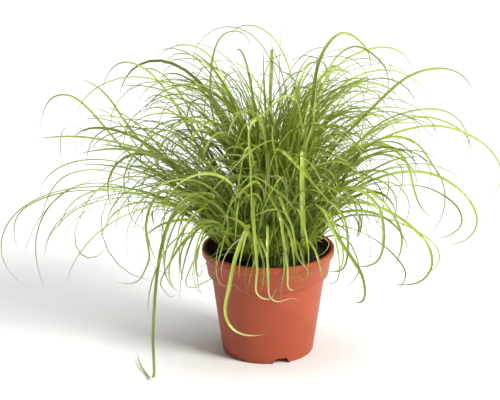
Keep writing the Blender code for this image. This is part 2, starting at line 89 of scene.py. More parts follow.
def turned_faces(rings: int, segments: int) -> np.ndarray:
    """Quads of a grid of rings by segments that closes round the axis.

    Point (i, j) has the index i * segments + j. Each quad joins rings i and i + 1.

    Args:
        rings: Number of rings, from the profile's start to its end.
        segments: Points on each ring.

    Returns:
        An integer array of shape (faces, 4).
    """
    i, j = np.meshgrid(segments * np.arange(rings - 1), np.arange(segments), indexing="ij")
    on = (j + 1) % segments
    return np.stack([i + j, i + on, i + segments + on, i + segments + j], axis=-1).reshape(-1, 4)


def turned_shell(
    grid: np.ndarray, segments: int, start: float, end: float
) -> tuple[np.ndarray, list[np.ndarray]]:
    """A closed shell from rings round the axis, with a point on the axis before and after them.

    Args:
        grid: The rings' points, ring after ring, from the middle of the underside to that of the top.
        segments: Points on each ring.
        start: Height of the point before the first ring.
        end: Height of the point after the last ring.

    Returns:
        The points, and the faces as quads and triangles.
    """
    points = np.vstack([grid, [[0.0, 0.0, start], [0.0, 0.0, end]]])
    column, last = np.arange(segments), len(grid) - segments
    on = (column + 1) % segments
    low, high = np.full(segments, len(grid)), np.full(segments, len(grid) + 1)
    caps = np.vstack([np.stack([low, on, column], 1), np.stack([last + column, last + on, high], 1)])
    return points, [turned_faces(len(grid) // segments, segments), caps]


def rounded_profile(points: list[tuple[float, float, float]], steps: int) -> np.ndarray:
    """A profile with its corners rounded off.

    A corner at q with rounding r becomes the curve q + a(1-s)^2 + b s^2, where a and b reach from q
    back and on along its two sides by r, at most MOST_ROUNDED of the shorter side.

    Args:
        points: (radius, height, rounding) of each corner.
        steps: Number of spans on each rounded corner.

    Returns:
        An array of (radius, height) rows.
    """
    corners, roundings = np.array(points)[:, :2], np.array(points)[1:, 2]
    s = np.linspace(0.0, 1.0, steps + 1)[:, None]
    made = [corners[:1]]
    for before, corner, after, rounding in zip(corners, corners[1:], corners[2:], roundings):
        back, on = before - corner, after - corner
        reach = min(rounding, MOST_ROUNDED * np.linalg.norm(back), MOST_ROUNDED * np.linalg.norm(on))
        made.append(corner + unit(back) * reach * (1 - s) ** 2 + unit(on) * reach * s**2)
    return np.vstack([*made, corners[-1:]])


def lattice_noise(points: np.ndarray, pitch: float, seed: int) -> np.ndarray:
    """Smooth noise from 0 to 1: random values on a square lattice, blended between its corners.

    The blend across a cell is the smooth step 3s^2 - 2s^3 in x and in y.

    Args:
        points: Rows that start with x and y.
        pitch: Side of a cell.
        seed: Seed of the lattice's values.

    Returns:
        One value for each point.
    """
    values = np.random.default_rng(seed).random((LATTICE, LATTICE))
    cell = points[..., :2] / pitch + LATTICE / 2
    low = np.floor(cell).astype(int)
    share = cell - low
    share = share * share * (3.0 - 2.0 * share)
    (i, j), (a, b) = np.moveaxis(low % LATTICE, -1, 0), np.moveaxis(share, -1, 0)
    i_on, j_on = (i + 1) % LATTICE, (j + 1) % LATTICE
    near = values[i, j] * (1 - a) + values[i_on, j] * a
    far = values[i, j_on] * (1 - a) + values[i_on, j_on] * a
    return near * (1 - b) + far * b


def array_mesh(name: str, points: np.ndarray, faces: list[np.ndarray]) -> bpy.types.Mesh:
    """A mesh from whole arrays.

    Args:
        name: The mesh's name.
        points: Array of shape (points, 3).
        faces: Arrays of shape (faces, corners), each with its own number of corners.

    Returns:
        The mesh.
    """
    mesh = bpy.data.meshes.new(name)
    loops = np.concatenate([f.ravel() for f in faces]).astype(np.int32)
    totals = np.concatenate([np.full(len(f), f.shape[1], np.int32) for f in faces])
    mesh.vertices.add(len(points))
    mesh.vertices.foreach_set("co", np.ascontiguousarray(points, dtype=np.float32).ravel())
    mesh.loops.add(len(loops))
    mesh.loops.foreach_set("vertex_index", loops)
    mesh.polygons.add(len(totals))
    mesh.polygons.foreach_set("loop_start", (np.cumsum(totals) - totals).astype(np.int32))
    mesh.polygons.foreach_set("loop_total", totals)
    mesh.update(calc_edges=True)
    mesh.validate()
    return mesh


def linked(name: str, data: bpy.types.ID) -> bpy.types.Object:
    """A new object in the scene.

    Args:
        name: The object's name.
        data: Its mesh, light or camera.

    Returns:
        The object.
    """
    made = bpy.data.objects.new(name, data)
    bpy.context.scene.collection.objects.link(made)
    return made


def new_piece(
    name: str, points: np.ndarray, faces: list[np.ndarray], finish: bpy.types.Material, slot: Slot,
    smooth: float,
) -> bpy.types.Object:
    """A mesh object from whole arrays, riding on the part's body.

    Args:
        name: The piece's name.
        points: Array of shape (points, 3).
        faces: Arrays of shape (faces, corners), each with its own number of corners.
        finish: The piece's material.
        slot: Not used.
        smooth: Edges that bend less than this angle are shaded smooth.

    Returns:
        The object, at the origin.
    """
    mesh = array_mesh(name, points, faces)
    mesh.shade_smooth()
    mesh.set_sharp_from_angle(angle=math.radians(smooth))
    mesh.materials.append(finish)
    piece = linked(name, mesh)
    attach(piece, BODY)
    return piece


# Node trees


class Tree:
    """A node tree with short ways to add and join its nodes."""

    def __init__(self, tree: bpy.types.NodeTree) -> None:
        """Wraps a node tree."""
        self.tree = tree

    def add(self, kind: str, settings: dict | None = None, **inputs: object) -> bpy.types.Node:
        """Adds a node.

        Args:
            kind: The node's type, such as ShaderNodeMix.
            settings: The node's own properties.
            **inputs: A value or an output socket for each input, named as on the node with _ for a space.

        Returns:
            The node.
        """
        node = self.tree.nodes.new(kind)
        for key, value in (settings or {}).items():
            setattr(node, key, value)
        for key, value in inputs.items():
            self.feed(node.inputs[key.replace("_", " ")], value)
        return node

    def by_index(self, kind: str, settings: dict, values: dict[int, object]) -> bpy.types.Node:
        """Adds a node whose inputs are told apart by their index.

        Args:
            kind: The node's type.
            settings: The node's own properties.
            values: A value or an output socket for each input's index.

        Returns:
            The node.
        """
        node = self.add(kind, settings)
        for index, value in values.items():
            self.feed(node.inputs[index], value)
        return node

    def feed(self, socket: bpy.types.NodeSocket, value: object) -> None:
        """Sets a socket to a value, or links an output to it.

        Args:
            socket: The socket.
            value: A plain value, or the output that it takes.
        """
        if isinstance(value, bpy.types.NodeSocket):
            self.tree.links.new(value, socket)
        else:
            socket.default_value = value

    def maths(self, operation: str, *values: object) -> bpy.types.NodeSocket:
        """The result of a Math node."""
        node = self.by_index("ShaderNodeMath", {"operation": operation}, dict(enumerate(values)))
        return node.outputs[0]

    def mixed(self, share: object, first: object, second: object) -> bpy.types.NodeSocket:
        """A blend of two colours by a share from 0 to 1."""
        values = {0: share, 6: first, 7: second}
        return self.by_index("ShaderNodeMix", {"data_type": "RGBA"}, values).outputs[2]

    def ramp(
        self, value: object, low: float, high: float, to_low: float = 0.0, to_high: float = 1.0
    ) -> bpy.types.NodeSocket:
        """A value mapped smoothly from the range low..high to to_low..to_high, and held past its ends."""
        values = dict(enumerate((value, low, high, to_low, to_high)))
        return self.by_index("ShaderNodeMapRange", {"interpolation_type": "SMOOTHSTEP"}, values).outputs[0]

    def attribute(self, name: str) -> bpy.types.NodeSocket:
        """A number kept on the mesh under that name."""
        return self.add("ShaderNodeAttribute", {"attribute_name": name}).outputs["Fac"]

    def place(self) -> bpy.types.NodeSocket:
        """The Object coordinates."""
        return self.add("ShaderNodeTexCoord").outputs["Object"]

    def noises(self, ins: dict, broad: str, details: tuple[float, float]) -> bpy.types.NodeSocket:
        """A broad noise and a grain, blended by the group's Grain Share.

        Args:
            ins: The group's inputs.
            broad: Which of them is the broad noise's scale.
            details: Detail of the broad noise and of the grain.

        Returns:
            The blend, from 0 to 1.
        """
        place, scales = self.place(), (ins[broad], ins["Grain Scale"])
        coarse, fine = (
            self.add("ShaderNodeTexNoise", Vector=place, Scale=scale, Detail=detail).outputs[0]
            for scale, detail in zip(scales, details)
        )
        return self.by_index("ShaderNodeMix", {}, {0: ins["Grain Share"], 2: coarse, 3: fine}).outputs[0]

    def group(self, group: bpy.types.NodeTree, **inputs: object) -> bpy.types.Node:
        """A node group placed in this tree with its own values."""
        return self.add("ShaderNodeGroup", {"node_tree": group}, **inputs)

    def relief(self, shader: bpy.types.Node, height: object, strength: float, depth: float) -> None:
        """Gives a shader a bumpy normal."""
        bump = self.add("ShaderNodeBump", Height=height, Strength=strength, Distance=depth)
        self.feed(shader.inputs["Normal"], bump.outputs[0])


def rgb(red: float, green: float, blue: float) -> tuple[float, float, float, float]:
    """A linear colour from the usual 0 to 255 display values.

    Args:
        red: Red.
        green: Green.
        blue: Blue.

    Returns:
        The colour, with an alpha of 1.
    """
    share = np.array([red, green, blue]) / 255.0
    linear = np.where(share <= 0.04045, share / 12.92, ((share + 0.055) / 1.055) ** 2.4)
    return (*linear.tolist(), 1.0)


def new_group(
    name: str, colours: dict[str, tuple], scales: dict[str, float], outputs: dict[str, str]
) -> tuple[Tree, dict, dict]:
    """An empty shader node group.

    Args:
        name: The group's name.
        colours: Default of each colour input.
        scales: Default of each number input.
        outputs: Socket type of each output.

    Returns:
        The tree, the output sockets of its Group Input and the input sockets of its Group Output.
    """
    group = bpy.data.node_groups.new(name, "ShaderNodeTree")
    for kind, defaults in (("NodeSocketColor", colours), ("NodeSocketFloat", scales)):
        for label, value in defaults.items():
            group.interface.new_socket(label, in_out="INPUT", socket_type=kind).default_value = value
    for label, kind in outputs.items():
        group.interface.new_socket(label, in_out="OUTPUT", socket_type=kind)
    ins, outs = group.nodes.new("NodeGroupInput").outputs, group.nodes.new("NodeGroupOutput").inputs
    return Tree(group), {s.name: s for s in ins if s.name}, {s.name: s for s in outs if s.name}


# Where the noise leaves the one shade of a mottle, and where it reaches the other
MOTTLE_EDGES = (0.36, 0.64)


def mottle_group() -> bpy.types.NodeTree:
    """Colour that drifts between two shades in large soft clouds, broken up by a finer mottle.

    Returns:
        The group, with a Color and a Mask.
    """
    tree, ins, outs = new_group(
        "soft mottle",
        {"Shade": (0.5, 0.5, 0.5, 1.0), "Other Shade": (0.4, 0.4, 0.4, 1.0)},
        {"Cloud Scale": 20.0, "Grain Scale": 300.0, "Grain Share": 0.3},
        {"Color": "NodeSocketColor", "Mask": "NodeSocketFloat"},
    )
    mask = tree.ramp(tree.noises(ins, "Cloud Scale", (4.0, 3.0)), *MOTTLE_EDGES)
    tree.feed(outs["Color"], tree.mixed(mask, ins["Shade"], ins["Other Shade"]))
    tree.feed(outs["Mask"], mask)
    return tree.tree


def relief_group() -> bpy.types.NodeTree:
    """A height from 0 to 1 made of a broad unevenness and a fine grain, for a Bump node.

    Returns:
        The group, with a Height.
    """
    tree, ins, outs = new_group(
        "fine relief", {}, {"Broad Scale": 60.0, "Grain Scale": 1500.0, "Grain Share": 0.5},
        {"Height": "NodeSocketFloat"},
    )
    tree.feed(outs["Height"], tree.noises(ins, "Broad Scale", (2.0, 2.0)))
    return tree.tree


def shader_of(name: str) -> tuple[bpy.types.Material, Tree, bpy.types.Node]:
    """A new material, its tree and its Principled shader.

    Args:
        name: The material's name.

    Returns:
        The three.
    """
    made = bpy.data.materials.new(name)
    made.use_nodes = True
    return made, Tree(made.node_tree), made.node_tree.nodes["Principled BSDF"]


# Finishes


@dataclass(frozen=True)
class TerracottaPlastic:
    """Thin moulded plastic in a brick colour: satin, faintly clouded, with a little peat dust."""

    shade: tuple = rgb(172, 80, 48)
    other_shade: tuple = rgb(161, 72, 43)
    dust: tuple = rgb(196, 150, 120)
    grime: tuple = rgb(92, 44, 32)
    roughness: tuple[float, float] = (0.40, 0.54)
    specular: float = 0.32
    relief_depth: float = 0.00012
    relief_strength: float = 0.6
    dusty: tuple[float, float] = (66.0 * MM, 90.0 * MM)
    speck_size: float = 0.26
    speck_from: float = 0.986
    grimy: tuple[float, float] = (0.0, 7.0 * MM)
    scuffed: tuple[float, float] = (0.45, 0.7)
    rubbed: tuple[float, float] = (0.35, 0.7)
    grime_share: float = 0.5

    def material(self, mottle: bpy.types.NodeTree, relief: bpy.types.NodeTree) -> bpy.types.Material:
        """The pot's material.

        Args:
            mottle: The group that drifts between two shades.
            relief: The group that gives a fine height.

        Returns:
            A material with specks of dust on the collar, darker in patches within its lowest 7 mm.
        """
        made, tree, shader = shader_of("terracotta plastic")
        colour = tree.group(
            mottle, Shade=self.shade, Other_Shade=self.other_shade,
            Cloud_Scale=26.0, Grain_Scale=420.0, Grain_Share=0.25,
        )
        place = tree.place()
        height = tree.add("ShaderNodeSeparateXYZ", Vector=place).outputs["Z"]
        specks = tree.add("ShaderNodeTexVoronoi", Vector=place, Scale=620.0)
        near = tree.maths("LESS_THAN", specks.outputs["Distance"], self.speck_size)
        chosen = tree.add("ShaderNodeSeparateColor", Color=specks.outputs["Color"]).outputs[0]
        speck = tree.maths("MULTIPLY", near, tree.maths("GREATER_THAN", chosen, self.speck_from))
        speck = tree.maths("MULTIPLY", speck, tree.ramp(height, *self.dusty))
        scuffs = tree.add("ShaderNodeTexNoise", Vector=place, Scale=90.0, Detail=6.0, Roughness=0.7)
        # Darker in patches towards the bottom, within the lowest 7 mm of the pot
        foot = tree.maths("SUBTRACT", 1.0, tree.ramp(height, *self.grimy))
        foot = tree.maths("MULTIPLY", foot, tree.ramp(scuffs.outputs[0], *self.scuffed))
        foot_darkening = tree.maths("MULTIPLY", foot, self.grime_share)
        foot_darkened = tree.mixed(foot_darkening, colour.outputs["Color"], self.grime)
        tree.feed(shader.inputs["Base Color"], tree.mixed(speck, foot_darkened, self.dust))
        rough = tree.ramp(scuffs.outputs[0], *self.rubbed, *self.roughness)
        tree.feed(shader.inputs["Roughness"], rough)
        tree.feed(shader.inputs["Specular IOR Level"], self.specular)
        raised = tree.group(relief, Broad_Scale=70.0, Grain_Scale=1800.0, Grain_Share=0.35)
        tree.relief(shader, raised.outputs[0], self.relief_strength, self.relief_depth)
        return made


@dataclass(frozen=True)
class MoistPeat:
    """Dark crumbly peat: brown-black, a few paler fibres, damp in the hollows."""

    shade: tuple = rgb(30, 24, 19)
    other_shade: tuple = rgb(58, 44, 33)
    fibre: tuple = rgb(120, 92, 62)
    fibrous: tuple[float, float] = (0.69, 0.75)
    roughness: tuple[float, float] = (0.72, 0.96)
    relief_depth: float = 0.0012

    def material(self, mottle: bpy.types.NodeTree, relief: bpy.types.NodeTree) -> bpy.types.Material:
        """The peat's material.

        Args:
            mottle: The group that drifts between two shades.
            relief: The group that gives a fine height.

        Returns:
            A material with pale fibres where a stretched noise is high.
        """
        made, tree, shader = shader_of("moist peat")
        colour = tree.group(
            mottle, Shade=self.shade, Other_Shade=self.other_shade,
            Cloud_Scale=160.0, Grain_Scale=900.0, Grain_Share=0.6,
        )
        streak = tree.add(
            "ShaderNodeMapping", Vector=tree.place(), Rotation=(0.3, 0.2, 0.8), Scale=(260.0, 1500.0, 900.0)
        )
        strands = tree.add("ShaderNodeTexNoise", Vector=streak.outputs[0], Scale=1.0, Detail=2.0)
        tinted = tree.ramp(strands.outputs[0], *self.fibrous)
        tree.feed(shader.inputs["Base Color"], tree.mixed(tinted, colour.outputs["Color"], self.fibre))
        tree.feed(shader.inputs["Roughness"], tree.ramp(colour.outputs["Mask"], 0.0, 1.0, *self.roughness))
        raised = tree.group(relief, Broad_Scale=420.0, Grain_Scale=1900.0, Grain_Share=0.45)
        tree.relief(shader, raised.outputs[0], 1.0, self.relief_depth)
        return made


@dataclass(frozen=True)
class LivingBlade:
    """Fresh grass: yellow-green to mid green, parallel veins, a dull olive root that is partly the sheath's
    own colour and partly painted shade, straw where it dries.
    """

    light: tuple = rgb(214, 230, 100)
    deep: tuple = rgb(106, 136, 42)
    # Colour at a blade's foot: partly the sheath's own colour, partly painted shade of the crown's base
    root: tuple = rgb(112, 132, 62)
    straw: tuple = rgb(238, 230, 180)
    glow: tuple = rgb(208, 226, 92)
    glow_share: float = 0.55
    patch_share: float = 0.25
    root_share: float = 0.6
    rooted: tuple[float, float] = (0.02, 0.16)
    roughness: tuple[float, float] = (0.16, 0.32)
    specular: float = 0.8
    veins: float = 5.0
    vein_tint: float = 0.22
    vein_share: float = 0.08
    fold_depth: float = 0.0004
    let_through: float = 0.3

    def material(self, mottle: bpy.types.NodeTree) -> bpy.types.Material:
        """The blades' material.

        Args:
            mottle: The group that drifts between two shades.

        Returns:
            A material that reads tone, along, across and dry from the mesh and lets some light through.
        """
        made, tree, shader = shader_of("living blade")
        tone, along, across, dry = (tree.attribute(name) for name in ("tone", "along", "across", "dry"))
        patchy = tree.group(
            mottle, Shade=self.light, Other_Shade=self.deep,
            Cloud_Scale=38.0, Grain_Scale=520.0, Grain_Share=0.3,
        )
        own = tree.mixed(tone, self.deep, self.light)
        green = tree.mixed(self.patch_share, own, patchy.outputs["Color"])
        wave = tree.maths("COSINE", tree.maths("MULTIPLY", across, math.pi * self.veins))
        wave = tree.maths("MULTIPLY_ADD", wave, 0.5, 0.5)
        veined = tree.mixed(tree.maths("MULTIPLY", wave, self.vein_tint), green, self.light)
        # Painted shade, partly the sheath's own colour: each blade's foot is pulled towards a dull olive
        tinted = tree.maths("SUBTRACT", 1.0, tree.ramp(along, *self.rooted))
        tinted = tree.maths("MULTIPLY", tinted, self.root_share)
        dried = tree.mixed(dry, tree.mixed(tinted, veined, self.root), self.straw)
        tree.feed(shader.inputs["Base Color"], dried)
        tree.feed(shader.inputs["Roughness"], tree.ramp(patchy.outputs["Mask"], 0.0, 1.0, *self.roughness))
        tree.feed(shader.inputs["Specular IOR Level"], self.specular)
        fold = tree.maths("MULTIPLY_ADD", wave, self.vein_share, tree.maths("ABSOLUTE", across))
        tree.relief(shader, fold, 1.0, self.fold_depth)
        through = tree.add("ShaderNodeBsdfTranslucent")
        lit = tree.mixed(self.glow_share, dried, self.glow)
        tree.feed(through.inputs["Color"], tree.mixed(dry, lit, self.straw))
        sides = {0: self.let_through, 1: shader.outputs[0], 2: through.outputs[0]}
        both = tree.by_index("ShaderNodeMixShader", {}, sides)
        tree.feed(made.node_tree.nodes["Material Output"].inputs["Surface"], both.outputs[0])
        return made


@dataclass(frozen=True)
class PaleFloor:
    """A matt near-white floor with the faintest unevenness."""

    shade: tuple = rgb(244, 244, 243)
    other_shade: tuple = rgb(242, 242, 241)
    roughness: float = 0.9

    def material(self, mottle: bpy.types.NodeTree) -> bpy.types.Material:
        """The floor's material.

        Args:
            mottle: The group of soft mottle.

        Returns:
            The material.
        """
        made, tree, shader = shader_of("pale floor")
        colour = tree.group(mottle, Shade=self.shade, Other_Shade=self.other_shade, Cloud_Scale=2.0)
        tree.feed(shader.inputs["Base Color"], colour.outputs["Color"])
        tree.feed(shader.inputs["Roughness"], self.roughness)
        return made


# The pot


@dataclass
class NurseryPot:
    """The moulded pot: lip, tapered collar, step, wall, notched foot ring and drained floor.

    leans has the size, the number of waves round the pot and the start of each unevenness of its wall.
    notch_beside and notch_room are in radians.
    """

    height: float = 99.0 * MM
    lip_radius: float = 60.0 * MM
    lip_bottom: float = 93.0 * MM
    lip_thickness: float = 3.4 * MM
    collar_top: tuple[float, float] = (57.2 * MM, 90.0 * MM)
    collar_bottom: tuple[float, float] = (54.8 * MM, 75.0 * MM)
    step_bottom: float = 70.5 * MM
    foot_radius: float = 41.0 * MM
    slope: float = 0.143
    wall: float = 1.3 * MM
    channel_height: float = 6.2 * MM
    pad_radius: float = 18.5 * MM
    pad_slope: float = 3.0 * MM
    drains: int = 6
    drain_radius: float = 3.5 * MM
    drain_circle: float = 30.0 * MM
    drain_sides: int = 32
    drain_past: float = 2.0 * MM
    notches: int = 3
    first_notch: float = -73.0
    notch_half_width: float = 8.3 * MM
    notch_half_top: float = 4.9 * MM
    notch_height: float = 5.4 * MM
    notch_ease: float = 0.25
    notch_beside: tuple[float, float] = (0.006, 0.012)
    notch_room: float = 0.014
    flank_columns: int = 7
    foot_chamfer: float = 1.6 * MM
    leans: tuple[tuple[float, int, float], ...] = ((0.05 * MM, 2, 0.6), (0.03 * MM, 5, 1.1))
    lean_between: tuple[float, float] = (10.0 * MM, 100.0 * MM)
    segments: int = 180
    corner_steps: int = 4
    smooth: float = 35.0

    def outer_radius(self, height: np.ndarray) -> np.ndarray:
        """Outer radius of the tapered wall at a height."""
        return self.foot_radius + self.slope * height

    def outside(self, height: np.ndarray) -> np.ndarray:
        """Outer radius of the whole pot at a height, along its wall, step, collar and lip.

        Args:
            height: Heights over the table.

        Returns:
            A radius for each.
        """
        low, high = self.collar_bottom, self.collar_top
        heights = [0.0, self.step_bottom, low[1], high[1], self.lip_bottom, self.height]
        radii = [self.foot_radius, self.outer_radius(self.step_bottom), low[0], high[0]]
        return np.interp(height, heights, [*radii, self.lip_radius, self.lip_radius])

    def profile(self) -> np.ndarray:
        """The rounded section: up the outside, over the lip, down the inside, and under the floor.

        Returns:
            Rows of (radius, height).
        """
        mm = {key: value / MM for key, value in vars(self).items() if isinstance(value, float)}
        foot, wall, channel = mm["foot_radius"], mm["wall"], mm["channel_height"]
        (low_radius, low), (top_radius, top) = np.array([self.collar_bottom, self.collar_top]) / MM
        step_at, height, lip, pad = mm["step_bottom"], mm["height"], mm["lip_radius"], mm["pad_radius"]
        chamfer = mm["foot_chamfer"]
        foot_out, step = foot - chamfer, foot + self.slope * step_at
        floor_top, lip_in = channel + wall, lip - mm["lip_thickness"]
        pad_foot = pad + mm["pad_slope"]
        corners = [
            (0.0, 0.0, 0.0),
            (pad, 0.0, 0.8),
            (pad_foot, channel, 1.2),
            (foot + self.slope * channel - 2.0 * wall, channel, 1.2),
            (foot_out - wall, 0.0, 0.5),
            (foot_out, 0.0, 0.6),
            (foot + self.slope * chamfer, chamfer, 1.4),
            (step, step_at, 1.2),
            (step + 1.3, low - 1.5, 0.3),
            (step + 1.6, low - 0.6, 0.2),
            (low_radius + 0.1, low - 0.55, 0.35),
            (low_radius + 0.2, low + 0.9, 0.5),
            (top_radius, top, 1.4),
            (lip, mm["lip_bottom"], 1.0),
            (lip, height, 1.3),
            (lip_in, height, 1.3),
            (lip_in - 0.3, mm["lip_bottom"] + 1.0, 1.5),
            (top_radius - wall, top, 1.5),
            (low_radius - wall, low + 1.0, 1.0),
            (step - wall, step_at + 0.7, 1.0),
            (foot + self.slope * floor_top - wall, floor_top, 1.2),
            (pad_foot - wall / 2, floor_top, 1.2),
            (pad - wall / 2, wall, 0.8),
            (0.0, wall, 0.0),
        ]
        return rounded_profile(corners, self.corner_steps) * MM

    def notch_bearings(self) -> tuple[np.ndarray, float, float]:
        """Middles of the notches, and half their width at the foot and at the top, in radians.

        Returns:
            The middles, the half width at the foot and the half width at the top.
        """
        middles = np.radians(self.first_notch + 360.0 / self.notches * np.arange(self.notches))
        low = math.asin(self.notch_half_width / self.foot_radius)
        high = math.asin(self.notch_half_top / self.outer_radius(self.notch_height))
        return middles, low, high

    @staticmethod
    def apart(angle: np.ndarray, middles: np.ndarray) -> np.ndarray:
        """How far each bearing is from each middle, in radians."""
        return np.abs(np.angle(np.exp(1j * (angle[:, None] - middles))))

    def angles(self) -> np.ndarray:
        """Bearings of the columns of points, with a closer set at the sides of each notch.

        Returns:
            The bearings, in radians, from 0 to a full turn.
        """
        even = np.linspace(0.0, 2.0 * np.pi, self.segments, endpoint=False)
        middles, low, high = self.notch_bearings()
        flank, beside = np.linspace(high, low, self.flank_columns), np.array(self.notch_beside)
        close = np.concatenate([high - beside[::-1], flank, low + beside])
        sides = (middles[:, None] + np.concatenate([close, -close])).ravel() % (2.0 * np.pi)
        off = np.abs(self.apart(even, middles) - (low + high) / 2).min(axis=1)
        return np.sort(np.concatenate([even[off > (low - high) / 2 + self.notch_room], sides]))

    def notch_floor(self, angle: np.ndarray) -> np.ndarray:
        """How far the foot is cut up at a bearing: a trapezium in width and height, with eased corners.

        Args:
            angle: Bearings in radians.

        Returns:
            A height for each.
        """
        middles, low, high = self.notch_bearings()
        share = np.clip((low - self.apart(angle, middles).min(axis=1)) / (low - high), 0.0, 1.0)
        eased = share * share * (3.0 - 2.0 * share)
        return self.notch_height * ((1.0 - self.notch_ease) * share + self.notch_ease * eased)

    def points(self) -> tuple[np.ndarray, int]:
        """The pot's grid of points.

        The profile (r, z) is carried round the axis. In a notch a point of the foot ring rises to the
        notch's floor, and its radius follows the ring's outer or inner side at its new height. The wall
        leans in and out by a few hundredths of a millimetre, as thin moulded plastic does.

        Returns:
            The points, ring by ring, and the number of points on a ring.
        """
        profile, angle = self.profile(), self.angles()
        radius, height = profile[1:-1, 0][:, None], profile[1:-1, 1][:, None]
        raised = np.maximum(height, self.notch_floor(angle)[None])
        moved = (radius > self.drain_circle) & (height < self.channel_height) & (raised > height)
        inner_low = self.foot_radius - self.foot_chamfer - self.wall
        inner_high = self.outer_radius(self.channel_height) - 2.0 * self.wall
        inner = inner_low + (inner_high - inner_low) * raised / self.channel_height
        outer = radius > inner_low + self.wall / 2
        radius = np.where(moved, np.where(outer, self.outer_radius(raised), inner), radius)
        height = np.where(moved, raised, height)
        lean = sum(size * np.sin(waves * angle + start) for size, waves, start in self.leans)
        low, high = self.lean_between
        radius = radius + lean * np.clip((height - low) / (high - low), 0.0, 1.0)
        return polar(radius, angle, height).reshape(-1, 3), len(angle)

    def build(self, finish: bpy.types.Material) -> bpy.types.Object:
        """Builds the pot and cuts its drain holes.

        Args:
            finish: The pot's material.

        Returns:
            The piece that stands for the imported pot.
        """
        points, columns = self.points()
        shell = turned_shell(points, columns, 0.0, self.wall)
        piece = new_piece("pot_moulding", *shell, finish, Slot.POT, self.smooth)
        self.drill(piece)
        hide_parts("pot")
        return piece

    def drill(self, piece: bpy.types.Object) -> None:
        """Cuts the drain holes through the channel's floor with upright rods.

        Args:
            piece: The pot, which is changed.
        """
        side = np.arange(self.drain_sides)
        at = np.radians(self.first_notch + 360.0 * (np.arange(self.drains) + 0.5) / self.drains)
        ends = self.channel_height + np.array([[-self.drain_past], [self.wall + self.drain_past]])
        rod = polar(self.drain_radius, 2.0 * np.pi / self.drain_sides * side, ends)
        points = polar(self.drain_circle, at, 0.0)[:, None, None] + rod
        first = 2 * self.drain_sides * np.arange(self.drains)[:, None, None]
        walls = first + turned_faces(2, self.drain_sides)
        caps = first + np.stack([side[::-1], self.drain_sides + side])
        faces = [part.reshape(-1, part.shape[-1]) for part in (walls, caps)]
        rods = linked("drain rods", array_mesh("drain rods", points.reshape(-1, 3), faces))
        cut = piece.modifiers.new("drains", "BOOLEAN")
        cut.operation, cut.object, cut.solver = "DIFFERENCE", rods, "EXACT"
        shaped = piece.evaluated_get(bpy.context.evaluated_depsgraph_get())
        piece.data = bpy.data.meshes.new_from_object(shaped)
        piece.modifiers.clear()
        bpy.data.objects.remove(rods)


# The peat


